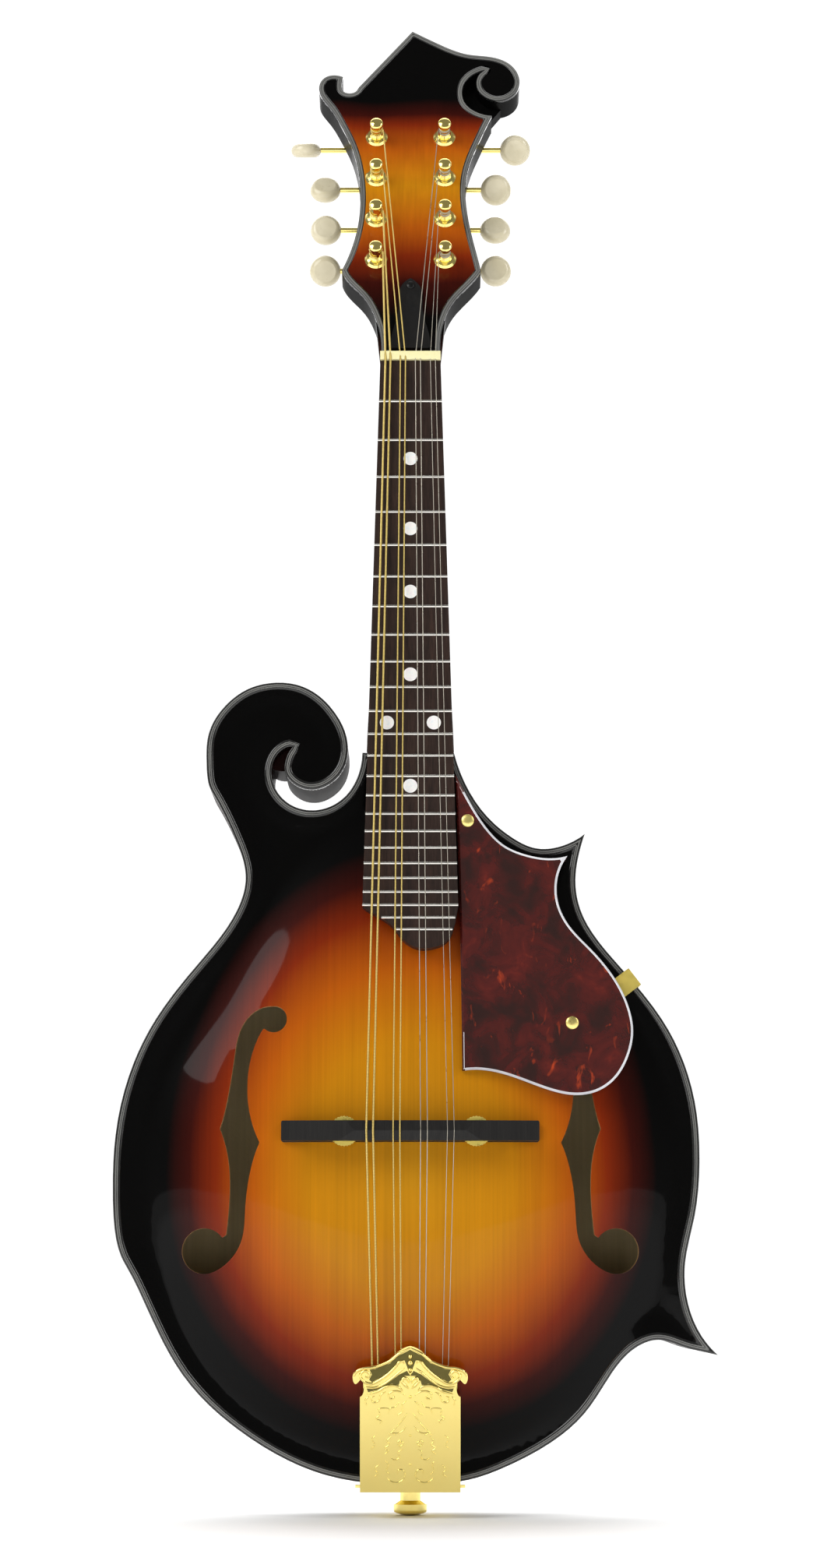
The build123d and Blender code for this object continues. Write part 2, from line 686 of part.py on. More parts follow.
# ---- bridge ------------------------------------------------------------------------------
BRIDGE_Z = board_point(0, SCALE, 0).Z
SADDLE_POINT = board_point(0, SCALE, STRING_AT_BRIDGE)
NUT_POINT = board_point(0, 0, STRING_AT_NUT)
GROOVE_DEPTH = 0.1       # how far the strings sit in the saddle
SADDLE_TOP_Y = SADDLE_POINT.Y - GROOVE_DEPTH
RISE_TO_NUT = (NUT_POINT.Y - SADDLE_POINT.Y) / (NUT_POINT.Z - SADDLE_POINT.Z)
FALL_TO_HOOK = (HOOK_Y - SADDLE_POINT.Y) / (SADDLE_POINT.Z - HOOK_Z)
WHEEL_BACK_Y = BASE_TOP_Y - WHEEL_GAP
SADDLE_BACK_Y = WHEEL_BACK_Y - WHEEL_THICK
BRIDGE_POST_R = 2.0
BASE_BACK_Y = -8.0       # before the base is fitted to the arch
FEET_GAP = 24.0          # the relieved middle between the base's two feet
TAPER_START = 34.0       # from here the base's top slopes down to its ends
TAPER_DROP = 6.0

with BuildPart() as bridge_base:
    with BuildSketch(front(BASE_BACK_Y, 0, BRIDGE_Z)):
        Rectangle(BRIDGE_LENGTH + 1, BRIDGE_WIDTH)
    extrude(amount=BASE_BACK_Y - BASE_TOP_Y)
    fillet(bridge_base.edges().filter_by(Axis.Y), 1.2)
    with BuildSketch(front(BASE_BACK_Y, 0, BRIDGE_Z)):
        Rectangle(FEET_GAP, 2 * BRIDGE_WIDTH)
    extrude(amount=TOP_RISE - 2.2, mode=Mode.SUBTRACT)
    add(TOP_ARCH, mode=Mode.SUBTRACT)
    with BuildSketch(front(BASE_TOP_Y, 0, BRIDGE_Z)):
        with Locations((-BRIDGE_POST_X, 0), (BRIDGE_POST_X, 0)):
            Circle(BRIDGE_POST_R)
    extrude(amount=-4, mode=Mode.SUBTRACT)
    for end in (-1, 1):
        taper_start = (end * TAPER_START, BASE_TOP_Y, BRIDGE_Z)
        with BuildSketch(Plane(origin=taper_start, x_dir=(end, 0, 0), z_dir=(0, 0, -end))):
            Polygon((0, 0), (26, 0), (26, -TAPER_DROP), align=None)
        extrude(amount=BRIDGE_WIDTH, both=True, mode=Mode.SUBTRACT)
finish("bridge_base", bridge_base.part)

POST_TOP_Y = SADDLE_TOP_Y + 2.5
with BuildPart() as bridge_posts:
    with BuildSketch(front(BASE_TOP_Y + 4, 0, BRIDGE_Z)):
        with Locations((-BRIDGE_POST_X, 0), (BRIDGE_POST_X, 0)):
            Circle(BRIDGE_POST_R)
    extrude(amount=BASE_TOP_Y + 4 - POST_TOP_Y - WHEEL_GAP)
finish("bridge_posts", bridge_posts.part)

with BuildPart() as bridge_saddle:
    with BuildSketch(Plane(origin=(0, 0, BRIDGE_Z - BRIDGE_WIDTH / 2), x_dir=(1, 0, 0), z_dir=(0, 0, 1))):
        half = BRIDGE_LENGTH / 2
        crown = SADDLE_TOP_Y
        with BuildLine():
            Polyline((-half, SADDLE_BACK_Y), (half, SADDLE_BACK_Y), (half, SADDLE_BACK_Y - 3.4), (24, crown),
                     (-24, crown), (-half, SADDLE_BACK_Y - 3.4), close=True)
        make_face()
    extrude(amount=BRIDGE_WIDTH)
    fillet(bridge_saddle.edges().filter_by(Axis.Y), 0.8)
    # Its ridge follows the strings down to the nut and to the tailpiece.
    with BuildSketch(Plane(origin=(-half - 1, 0, BRIDGE_Z), x_dir=(0, 0, 1), z_dir=(1, 0, 0))):
        edge = BRIDGE_WIDTH / 2
        with BuildLine():
            Polyline((-edge, -SADDLE_BACK_Y), (edge, -SADDLE_BACK_Y), (edge, -crown - RISE_TO_NUT * edge),
                     (0, -crown), (-edge, -crown - FALL_TO_HOOK * edge), close=True)
        make_face()
    extrude(amount=2 * half + 2, mode=Mode.INTERSECT)
    with BuildSketch(front(SADDLE_BACK_Y, 0, BRIDGE_Z)):
        with Locations((-BRIDGE_POST_X, 0), (BRIDGE_POST_X, 0)):
            Circle(BRIDGE_POST_R + CLEAR)
    extrude(amount=SADDLE_BACK_Y - POST_TOP_Y, mode=Mode.SUBTRACT)
    add(GROOVES, mode=Mode.SUBTRACT)
finish("bridge_saddle", bridge_saddle.part)

KNURLS = 30
for wheel_name, wheel_x in (("thumbwheel_bass", -BRIDGE_POST_X), ("thumbwheel_treble", BRIDGE_POST_X)):
    with BuildPart() as wheel:
        with BuildSketch(front(WHEEL_BACK_Y, wheel_x, BRIDGE_Z)):
            Circle(WHEEL_R)
            Circle(BRIDGE_POST_R + CLEAR, mode=Mode.SUBTRACT)
            with PolarLocations(WHEEL_R + 0.15, KNURLS):
                Circle(0.4, mode=Mode.SUBTRACT)
        extrude(amount=WHEEL_THICK - 0.03)
    finish(wheel_name, wheel.part)

# ---- tailpiece and end button --------------------------------------------------------------
COVER_FOOT_Y = -11.7
TAIL_UP = Vector(0, -FALL_TO_HOOK, 1).normalized()
COVER = Plane(origin=(0, COVER_FOOT_Y, COVER_FOOT_Z), x_dir=(1, 0, 0), z_dir=(0, -TAIL_UP.Z, TAIL_UP.Y))
SKIRT = 7.0
BASE_DROP = 5.6          # base plate's face under the cover's back


def cover_face():
    """A rectangle whose upper end spreads into two volutes and a crowned peak."""
    half = COVER_WIDTH / 2
    with BuildSketch() as face:
        with BuildLine():
            Line((-half, 0), (half, 0))
            Line((half, 0), (half, 41))
            Spline((half, 41), (19.8, 44.5), (21, 48.5), (23.3, 46.5), (24.6, 49.8), (22, 53), (15, 54.5),
                   (9, 57), (5.5, 60), (0, 62.8))
            Spline((0, 62.8), (-5.5, 60), (-9, 57), (-15, 54.5), (-22, 53), (-24.6, 49.8), (-23.3, 46.5),
                   (-21, 48.5), (-19.8, 44.5), (-half, 41))
            Line((-half, 41), (-half, 0))
        make_face()
    return face.sketch


with BuildPart() as tailpiece_cover:
    with BuildSketch(COVER):
        add(cover_face())
    extrude(amount=SHEET)
    with BuildSketch(COVER):
        for side in (-1, 1):
            with Locations((side * (COVER_WIDTH - SHEET) / 2, 20.5)):
                Rectangle(SHEET, 41)
    extrude(amount=-SKIRT)
finish("tailpiece_cover", tailpiece_cover.part)

BASE_HALF = COVER_WIDTH / 2 - SHEET - 0.4
with BuildPart() as tailpiece_base:
    with BuildSketch(COVER.offset(-BASE_DROP - SHEET)):
        with Locations((0, 26.5)):
            Rectangle(2 * BASE_HALF, 52)
    extrude(amount=SHEET)
    with BuildSketch(COVER.offset(-BASE_DROP)):
        for course in COURSES:
            for lane in (-1, 1):
                with Locations(((COURSE_BRIDGE[course] + lane * PAIR_BRIDGE / 2) * HOOK_SPREAD, 47.2)):
                    Rectangle(1.6, 2.4)
    extrude(amount=3.4)
    with BuildSketch(tail_plane()):
        with Locations((0, 9.5)):
            Rectangle(2 * BASE_HALF, 36)
        with Locations((0, -2.7)):
            Rectangle(2 * BASE_HALF + 7, 3.4)
        add(TAIL_HOLES, mode=Mode.SUBTRACT)
    extrude(amount=END_PLATE)
finish("tailpiece_base", tailpiece_base.part)

BUTTON_NECK_R = 4.5
BUTTON_HEAD_R = 7.3
with BuildPart() as strap_button:
    seat = (0, BUTTON_AXIS_Y, TAIL_Z - END_PLATE)
    with BuildSketch(Plane(origin=seat, x_dir=(1, 0, 0), z_dir=(0, 1, 0))):
        with BuildLine():
            Polyline((0, -18), (3.9, -18), (3.9, 0), (BUTTON_NECK_R + 0.6, 0), (BUTTON_NECK_R, 1.2),
                     (BUTTON_NECK_R, 6.4), (BUTTON_HEAD_R, 8.0), (BUTTON_HEAD_R, 10.5))
            Spline((BUTTON_HEAD_R, 10.5), (5.8, 12), (0, 12.8), tangents=((0, 1), (-1, 0)))
            Line((0, 12.8), (0, -18))
        make_face()
    revolve(axis=Axis((0, BUTTON_AXIS_Y, 0), (0, 0, 1)))
finish("strap_button", strap_button.part)

# ---- pickguard -----------------------------------------------------------------------------
GUARD = leaning((0, -16.3, -196), 1.65)
GUARD_THICK = 1.6
GUARD_SCREWS = [(25.2, -18.5), (70.5, -107.8)]   # one by the board, one over the bracket's foot
GUARD_EDGE = [
    [(19.9, 2), (21.3, -45.6), (22.6, -128.7)],
    [(22.6, -128.7), (36, -129), (46.7, -132.1), (59.5, -136.8), (71.7, -139.2), (80.5, -137.8), (89, -132.1),
     (94.5, -123), (97, -112), (95.3, -101), (87.1, -85), (78.7, -75.1), (69.9, -65.5), (65.3, -56.6),
     (64.2, -48), (65.5, -41), (69.1, -34.2)],
    [(69.1, -34.2), (60.2, -35.2), (50.6, -33.5), (41.8, -29.7), (34.3, -22.5), (27.8, -12.8), (19.9, 2)],
]
with BuildPart() as pickguard:
    with BuildSketch(GUARD):
        with BuildLine():
            for run in GUARD_EDGE:
                Spline(*run)
        make_face()
        for place in GUARD_SCREWS:
            with Locations(place):
                Circle(SCREW_R, mode=Mode.SUBTRACT)
    extrude(amount=-GUARD_THICK)
    with BuildSketch(GUARD.offset(-GUARD_THICK)):
        with Locations(GUARD_SCREWS[0]):
            Rectangle(7, 9)
            Circle(SCREW_R, mode=Mode.SUBTRACT)
    extrude(amount=-7)
finish("pickguard", pickguard.part)

# ---- the bracket that holds the pickguard to the rim ---------------------------------------
BRACKET_WIDTH = 9.0
BRACKET_FOOT = Vector(70.5, 0, -303.8)
BRACKET_RIM = Vector(97.6, 0, -283.2)
BRACKET_DIR = (BRACKET_RIM - BRACKET_FOOT).normalized()
EDGE_OUT = (BRACKET_RIM - BRACKET_FOOT).length + 0.5
with BuildPart() as pickguard_bracket:
    side_view = Plane(origin=BRACKET_FOOT, x_dir=BRACKET_DIR, z_dir=BRACKET_DIR.cross(Vector(0, 1, 0)))
    with BuildSketch(side_view):
        with BuildLine():
            Polyline((-4.5, -17.7), (17, -17.3), (24, -7.2), (EDGE_OUT + 1, -7.2), (EDGE_OUT + 1, 13),
                     (EDGE_OUT, 13), (EDGE_OUT, -6.2), (23.3, -6.2), (16.3, -16.3), (-4.5, -16.7), close=True)
        make_face()
    extrude(amount=BRACKET_WIDTH / 2, both=True)
    with BuildSketch(GUARD):
        with Locations(GUARD_SCREWS[1]):
            Circle(SCREW_R)
    extrude(amount=-10, mode=Mode.SUBTRACT)
finish("pickguard_bracket", pickguard_bracket.part)

# ---- tuning machines -----------------------------------------------------------------------
MACHINE_PLATE = 1.2
PLATE_BACK = BACK_FACE - MACHINE_PLATE
EAR_OUT = 4.4            # bearing ears, either side of the post along the shaft
EAR_THICK = 1.0
EAR_TALL = 4.4
GEAR_R = 3.6
GEAR_TEETH = 15
WORM_R = 1.7
WORM_HALF = 3.7
GEAR_FRONT = PLATE_BACK - 0.3
GEAR_BACK = GEAR_FRONT - 3.0
STUB_R = 1.8             # the post's end inside the gear

with BuildPart() as tuner_plates:
    for side in (-1, 1):
        with BuildSketch(head_plane(side * POST_X, POST_FIRST + 1.5 * POST_STEP + 1.5, BACK_FACE)):
            RectangleRounded(11.6, 3 * POST_STEP + 27, 2.5)
        extrude(amount=-MACHINE_PLATE)
        with BuildSketch(head_plane(side * POST_X, 0, PLATE_BACK)):
            for row in (1, 2, 3, 4):
                with Locations((-EAR_OUT, post_up(row) + WORM_UP), (EAR_OUT, post_up(row) + WORM_UP)):
                    Rectangle(EAR_THICK, 4.6)
        extrude(amount=-EAR_TALL)
        for row in (1, 2, 3, 4):
            with BuildSketch(head_cross(side * (POST_X - 8), post_up(row) + WORM_UP, WORM_H, side)):
                Circle(SHAFT_R + CLEAR)
            extrude(amount=16, mode=Mode.SUBTRACT)
        with BuildSketch(head_plane(side * POST_X, 0, BACK_FACE)):
            for row in (1, 2, 3, 4):
                with Locations((0, post_up(row))):
                    Circle(POST_R + CLEAR)
            for up in PLATE_SCREW_UPS:
                with Locations((0, up)):
                    Circle(SCREW_R)
        extrude(amount=-MACHINE_PLATE, mode=Mode.SUBTRACT)
finish("tuner_plates", tuner_plates.part)

with BuildPart() as tuner_bushings:
    for side, row in TUNERS:
        axis_plane = Plane(origin=HEAD.from_local_coords(Vector(side * POST_X, post_up(row), 0)),
                           x_dir=(1, 0, 0), z_dir=-HEAD.y_dir)
        with BuildSketch(axis_plane):
            with BuildLine():
                Polyline((POST_R + CLEAR, -9), (BORE_R, -9), (BORE_R, 0), (5.2, 0), (5.2, 0.7), (4.3, 1.6),
                         (POST_R + CLEAR, 1.9), close=True)
            make_face()
        revolve(axis=Axis(axis_plane.origin, HEAD.z_dir))
finish("tuner_bushings", tuner_bushings.part)


def tuner_post(side, row):
    """String post, gear wheel and gear screw, which turn together."""
    axis_plane = Plane(origin=HEAD.from_local_coords(Vector(side * POST_X, post_up(row), 0)),
                       x_dir=(1, 0, 0), z_dir=-HEAD.y_dir)
    axis = Axis(axis_plane.origin, HEAD.z_dir)
    with BuildPart() as stem:
        with BuildSketch(axis_plane):
            with BuildLine():
                Polyline((0, GEAR_BACK), (STUB_R, GEAR_BACK), (STUB_R, GEAR_FRONT), (POST_R, GEAR_FRONT),
                         (POST_R, 3.2), (WAIST_R, 4.4), (WAIST_R, 8.6), (POST_R, 9.8), (POST_R + 0.1, 11.0))
                Spline((POST_R + 0.1, 11.0), (2.2, 12.1), (0, 12.5), tangents=((0, 1), (-1, 0)))
                Line((0, 12.5), (0, GEAR_BACK))
            make_face()
        revolve(axis=axis)
        with BuildSketch(Plane(origin=axis_plane.origin + HEAD.z_dir * 6.5, z_dir=(1, 0, 0))):
            Circle(0.6)
        extrude(amount=6, both=True, mode=Mode.SUBTRACT)
    with BuildPart() as gear:
        with BuildSketch(head_plane(side * POST_X, post_up(row), GEAR_BACK)):
            Circle(GEAR_R)
            Circle(STUB_R, mode=Mode.SUBTRACT)
            with PolarLocations(GEAR_R + 0.1, GEAR_TEETH):
                Circle(0.42, mode=Mode.SUBTRACT)
        extrude(amount=GEAR_FRONT - GEAR_BACK)
    with BuildPart() as gear_screw:
        with BuildSketch(axis_plane):
            with BuildLine():
                Line((0, GEAR_BACK), (2.3, GEAR_BACK))
                Spline((2.3, GEAR_BACK), (1.7, GEAR_BACK - 0.9), (0, GEAR_BACK - 1.3),
                       tangents=((0, -1), (-1, 0)))
                Line((0, GEAR_BACK - 1.3), (0, GEAR_BACK))
            make_face()
        revolve(axis=axis)
    return Compound(children=[stem.part, gear.part, gear_screw.part])


def worm_shaft(side, row):
    """The shaft from its inner bearing ear out to the button, with its worm between the ears."""
    centre = HEAD.from_local_coords(Vector(side * POST_X, post_up(row) + WORM_UP, WORM_H))
    inner = -EAR_OUT - EAR_THICK / 2 - 0.3
    outer = BUTTON_X[row] - POST_X - BUTTON_R + 5
    threads = 5
    pitch = 2 * WORM_HALF / threads
    with BuildPart() as shaft:
        with BuildSketch(Plane(origin=centre, x_dir=(side, 0, 0), z_dir=HEAD.z_dir)):
            with BuildLine():
                profile = [(inner, 0), (inner, SHAFT_R), (-WORM_HALF, SHAFT_R)]
                for turn in range(threads):
                    start = -WORM_HALF + turn * pitch
                    profile += [(start + 0.3 * pitch, WORM_R), (start + 0.7 * pitch, WORM_R),
                                (start + pitch, SHAFT_R)]
                profile += [(outer, SHAFT_R), (outer, 0)]
                Polyline(*profile, close=True)
            make_face()
        revolve(axis=Axis(centre, (side, 0, 0)))
    return shaft.part


def tuner_button(side, row):
    """A thick round button whose disc stands in line with its shaft."""
    centre = HEAD.from_local_coords(Vector(side * BUTTON_X[row], post_up(row) + WORM_UP, WORM_H))
    turn = radians(BUTTON_TURN[tuner_number(side, row)])
    face_dir = HEAD.z_dir * cos(turn) + HEAD.y_dir * sin(turn)
    out = Vector(side, 0, 0)
    half = BUTTON_THICK / 2
    with BuildPart() as button:
        with BuildSketch(Plane(origin=centre, x_dir=out, z_dir=out.cross(face_dir))):
            with BuildLine():
                Line((0, -half), (BUTTON_R - 2.4, -half))
                ThreePointArc((BUTTON_R - 2.4, -half), (BUTTON_R, 0), (BUTTON_R - 2.4, half))
                Line((BUTTON_R - 2.4, half), (0, half))
                Line((0, half), (0, -half))
            make_face()
        revolve(axis=Axis(centre, face_dir))
        with BuildSketch(Plane(origin=centre - out * (BUTTON_R + 1.8), x_dir=face_dir, z_dir=out)):
            Circle(2.3)
        extrude(amount=3.5, taper=-6)
        with BuildSketch(Plane(origin=centre - out * (BUTTON_R + 3), x_dir=face_dir, z_dir=out)):
            Circle(SHAFT_R)
        extrude(amount=8, mode=Mode.SUBTRACT)
    return button.part


for side, row in TUNERS:
    number = tuner_number(side, row)
    finish(f"tuner_{number}_post", tuner_post(side, row))
    finish(f"tuner_{number}_worm_shaft", worm_shaft(side, row))
    finish(f"tuner_{number}_button", tuner_button(side, row))

# ---- small screws --------------------------------------------------------------------------
SHANK = 7.2
SMALL_HEAD_R = 2.0
GUARD_HEAD_R = 2.9


def wood_screw(head_r):
    """A pan-headed screw along Z, its head's seat at the origin."""
    with BuildPart() as screw:
        with BuildSketch(Plane.XZ):
            with BuildLine():
                Polyline((0, 0.9), (0, -SHANK), (0.2, -SHANK), (SCREW_R, -SHANK + 1.6), (SCREW_R, 0),
                         (head_r, 0))
                Spline((head_r, 0), (head_r - 0.7, 0.7), (0, 0.9), tangents=((0, 1), (-1, 0)))
            make_face()
        revolve(axis=Axis.Z)
    return screw.part


SMALL_PLACES = [head_plane(0, COVER_SCREW_UP, COVER_THICK)]
SMALL_PLACES += [Plane(origin=(x, TAIL_SCREW_Y, TAIL_Z - END_PLATE), x_dir=(1, 0, 0), z_dir=(0, 0, -1))
                 for x in (-TAIL_SCREW_X, TAIL_SCREW_X)]
for side in (-1, 1):
    SMALL_PLACES += [Plane(origin=HEAD.from_local_coords(Vector(side * POST_X, up, PLATE_BACK)),
                           x_dir=(1, 0, 0), z_dir=-HEAD.z_dir) for up in PLATE_SCREW_UPS]
with BuildPart() as wood_screws:
    for place in SMALL_PLACES:
        add(wood_screw(SMALL_HEAD_R).moved(place.location))
    for x, up in GUARD_SCREWS:
        seat = Plane(origin=GUARD.from_local_coords(Vector(x, up, 0)), x_dir=(1, 0, 0), z_dir=GUARD.z_dir)
        add(wood_screw(GUARD_HEAD_R).moved(seat.location))
finish("wood_screws", wood_screws.part)
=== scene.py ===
"""Mandolin: materials, carved plates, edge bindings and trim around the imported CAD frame."""
import json
from math import atan2, cos, hypot, pi, radians, sin

import bmesh
import bpy
import numpy as np
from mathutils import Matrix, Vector, geometry, kdtree


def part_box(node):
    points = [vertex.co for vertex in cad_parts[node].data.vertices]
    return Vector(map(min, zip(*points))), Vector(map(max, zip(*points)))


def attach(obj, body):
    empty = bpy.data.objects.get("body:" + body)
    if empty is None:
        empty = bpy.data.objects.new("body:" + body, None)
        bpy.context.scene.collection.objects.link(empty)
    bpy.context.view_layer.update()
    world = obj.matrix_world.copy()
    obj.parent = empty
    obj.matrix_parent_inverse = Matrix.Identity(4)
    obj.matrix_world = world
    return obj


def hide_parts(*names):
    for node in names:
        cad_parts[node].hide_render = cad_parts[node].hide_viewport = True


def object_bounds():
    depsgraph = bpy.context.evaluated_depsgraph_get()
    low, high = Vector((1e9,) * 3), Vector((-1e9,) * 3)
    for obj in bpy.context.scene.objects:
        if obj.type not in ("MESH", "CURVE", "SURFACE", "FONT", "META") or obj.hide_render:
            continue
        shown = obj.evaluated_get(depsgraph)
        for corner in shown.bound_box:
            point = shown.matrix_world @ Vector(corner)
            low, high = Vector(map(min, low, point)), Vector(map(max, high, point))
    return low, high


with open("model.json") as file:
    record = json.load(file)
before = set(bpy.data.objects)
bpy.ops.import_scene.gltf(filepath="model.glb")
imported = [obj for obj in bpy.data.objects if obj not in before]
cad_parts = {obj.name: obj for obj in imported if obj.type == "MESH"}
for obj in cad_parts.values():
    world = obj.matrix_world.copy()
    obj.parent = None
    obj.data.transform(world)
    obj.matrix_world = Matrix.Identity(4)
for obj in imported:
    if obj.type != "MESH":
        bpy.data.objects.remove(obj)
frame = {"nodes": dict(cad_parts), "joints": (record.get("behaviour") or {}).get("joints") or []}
CAD_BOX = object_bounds()
NODES = frame["nodes"]
JOINTS = {joint["name"]: joint for joint in frame["joints"]}
SCENE = bpy.context.scene
MM = 0.001

# ---- camera ----------------------------------------------------------------------------
CAMERA_AT = (0.0014, -1.411, -0.419)
CAMERA_PITCH = 9.0       # degrees above level
CAMERA_LENS = 73.47


def make_camera():
    data = bpy.data.cameras.new("camera")
    data.lens = CAMERA_LENS
    camera = bpy.data.objects.new("camera", data)
    camera.location = CAMERA_AT
    camera.rotation_euler = (radians(90 + CAMERA_PITCH), 0, 0)
    SCENE.collection.objects.link(camera)
    SCENE.camera = camera


# ---- materials: a small node builder ---------------------------------------------------
class Material:
    """A Principled material whose textures are measured in the row frame, in metres."""

    def __init__(self, name, **surface):
        self.material = bpy.data.materials.new(name)
        self.material.use_nodes = True
        self.tree = self.material.node_tree
        self.shader = self.tree.nodes["Principled BSDF"]
        self.place = self.tree.nodes.new("ShaderNodeTexCoord").outputs["Object"]
        for socket, value in surface.items():
            self.shader.inputs[socket.replace("_", " ")].default_value = value

    def link(self, source, node, socket):
        if isinstance(source, bpy.types.NodeSocket):
            self.tree.links.new(source, node.inputs[socket])
        else:
            node.inputs[socket].default_value = source

    def math(self, operation, first, second=0.0, clamp=False):
        node = self.tree.nodes.new("ShaderNodeMath")
        node.operation = operation
        node.use_clamp = clamp
        self.link(first, node, 0)
        self.link(second, node, 1)
        return node.outputs[0]

    def axes(self):
        node = self.tree.nodes.new("ShaderNodeSeparateXYZ")
        self.link(self.place, node, 0)
        return node.outputs[0], node.outputs[1], node.outputs[2]

    def stretched(self, scale, turn=(0, 0, 0)):
        node = self.tree.nodes.new("ShaderNodeMapping")
        self.link(self.place, node, "Vector")
        node.inputs["Scale"].default_value = scale
        node.inputs["Rotation"].default_value = [radians(a) for a in turn]
        return node.outputs[0]

    def noise(self, scale, detail=3.0, where=None, distortion=0.0, rough=0.5):
        node = self.tree.nodes.new("ShaderNodeTexNoise")
        self.link(where or self.place, node, "Vector")
        node.inputs["Scale"].default_value = scale
        node.inputs["Detail"].default_value = detail
        node.inputs["Roughness"].default_value = rough
        node.inputs["Distortion"].default_value = distortion
        return node.outputs[0]

    def ramp(self, source, stops):
        node = self.tree.nodes.new("ShaderNodeValToRGB")
        elements = node.color_ramp.elements
        while len(elements) < len(stops):
            elements.new(0.5)
        for element, (position, colour) in zip(elements, stops):
            element.position = position
            element.color = (*colour, 1)
        self.link(source, node, 0)
        return node.outputs[0]

    def mix(self, factor, first, second, blend="MIX"):
        node = self.tree.nodes.new("ShaderNodeMix")
        node.data_type = "RGBA"
        node.blend_type = blend
        self.link(factor, node, 0)
        self.link(first if not isinstance(first, tuple) else (*first, 1), node, 6)
        self.link(second if not isinstance(second, tuple) else (*second, 1), node, 7)
        return node.outputs[2]

    def level(self, source, low, high):
        """Brings a texture's middle range to a range of numbers."""
        node = self.tree.nodes.new("ShaderNodeMapRange")
        self.link(source, node, 0)
        node.inputs[1].default_value = 0.3
        node.inputs[2].default_value = 0.7
        node.inputs[3].default_value = low
        node.inputs[4].default_value = high
        return node.outputs[0]

    def grey(self, value):
        node = self.tree.nodes.new("ShaderNodeCombineXYZ")
        for axis in range(3):
            self.link(value, node, axis)
        return node.outputs[0]

    def colour(self, source):
        self.link(source, self.shader, "Base Color")

    def rough(self, source):
        self.link(source, self.shader, "Roughness")

    def bump(self, height, distance, strength=1.0):
        node = self.tree.nodes.new("ShaderNodeBump")
        node.inputs["Distance"].default_value = distance
        node.inputs["Strength"].default_value = strength
        self.link(height, node, "Height")
        self.tree.links.new(node.outputs[0], self.shader.inputs["Normal"])


LACQUER = {"Roughness": 0.3, "Specular_IOR_Level": 0.03, "Coat_Weight": 0.3, "Coat_Roughness": 0.035,
           "Coat_IOR": 1.35}
SOFT_LACQUER = {"Roughness": 0.55, "Specular_IOR_Level": 0.05, "Coat_Weight": 0.1, "Coat_Roughness": 0.12,
                "Coat_IOR": 1.3}
BLACK = (0.0008, 0.0007, 0.0007)
DARK_RED = (0.035, 0.003, 0.0015)
RED_BROWN = (0.19, 0.018, 0.002)
ORANGE = (0.42, 0.088, 0.003)
AMBER = (0.53, 0.205, 0.004)
HONEY = (0.59, 0.262, 0.008)
GOLD = (0.95, 0.79, 0.27)
GOLD_TINT = (1.0, 0.95, 0.85)
SATIN = (0.84, 0.67, 0.16)
# a dark gold for the relief's recesses: painted shade
RECESS_SHADE_GOLD = (0.13, 0.11, 0.035)
BURST_EDGE = 0.8         # where a sunburst's edge falls on its colour ramp
WINDING_PITCH = 0.00045  # metres between the turns of a wound string


def grain(m, across, lines=900.0, strength=0.25):
    """Fine lines that run up the body, as a factor that darkens the wood."""
    fine = m.noise(1.0, 2.0, m.stretched((lines, across, 12)), 0.2)
    broad = m.noise(1.0, 3.0, m.stretched((lines / 6, across, 4)), 0.4)
    both = m.math("ADD", m.math("MULTIPLY", fine, 0.6), m.math("MULTIPLY", broad, 0.4))
    return m.level(both, 1.0 - strength, 1.0 + strength * 0.35)


def burst_radius(m, centre_z, half_width, up, down):
    """Distance from the sunburst's middle, 1 at its edge: an egg, longer towards the neck."""
    x, _, z = m.axes()
    rise = m.math("SUBTRACT", z, centre_z)
    above = m.math("DIVIDE", m.math("MAXIMUM", rise, 0.0), up)
    below = m.math("DIVIDE", m.math("MINIMUM", rise, 0.0), down)
    v = m.math("ADD", above, below)
    u = m.math("DIVIDE", x, half_width)
    wander = m.math("MULTIPLY", m.math("SUBTRACT", m.noise(14.0, 2.0), 0.5), 0.05)
    squares = m.math("ADD", m.math("MULTIPLY", u, u), m.math("MULTIPLY", v, v))
    return m.math("ADD", m.math("SQRT", squares), wander)


def top_wood():
    m = Material("sunburst_spruce", **LACQUER)
    radius = burst_radius(m, -0.372, 0.119, 0.164, 0.122)
    scaled = m.math("MULTIPLY", radius, BURST_EDGE)
    burst = m.ramp(scaled, [(0.0, HONEY), (0.30, AMBER), (0.46, ORANGE), (0.57, RED_BROWN),
                            (0.65, DARK_RED), (0.72, BLACK)])
    m.colour(m.mix(1.0, burst, m.grey(grain(m, 30, 900.0, 0.16)), "MULTIPLY"))
    return m.material


def back_wood():
    m = Material("sunburst_maple", **LACQUER)
    radius = burst_radius(m, -0.35, 0.118, 0.15, 0.125)
    scaled = m.math("MULTIPLY", radius, BURST_EDGE)
    burst = m.ramp(scaled, [(0.0, (0.36, 0.09, 0.012)), (0.35, (0.26, 0.05, 0.008)),
                            (0.6, (0.10, 0.014, 0.004)), (0.78, BLACK)])
    flame = m.noise(1.0, 2.0, m.stretched((16, 16, 130)), 0.8)
    figure = m.level(flame, 0.62, 1.25)
    m.colour(m.mix(1.0, burst, m.grey(figure), "MULTIPLY"))
    return m.material


def side_wood():
    m = Material("side_maple", **SOFT_LACQUER)
    flame = m.level(m.noise(1.0, 2.0, m.stretched((90, 20, 90)), 0.6), 0.0, 1.0)
    m.colour(m.mix(flame, (0.006, 0.003, 0.003), (0.020, 0.004, 0.003)))
    return m.material


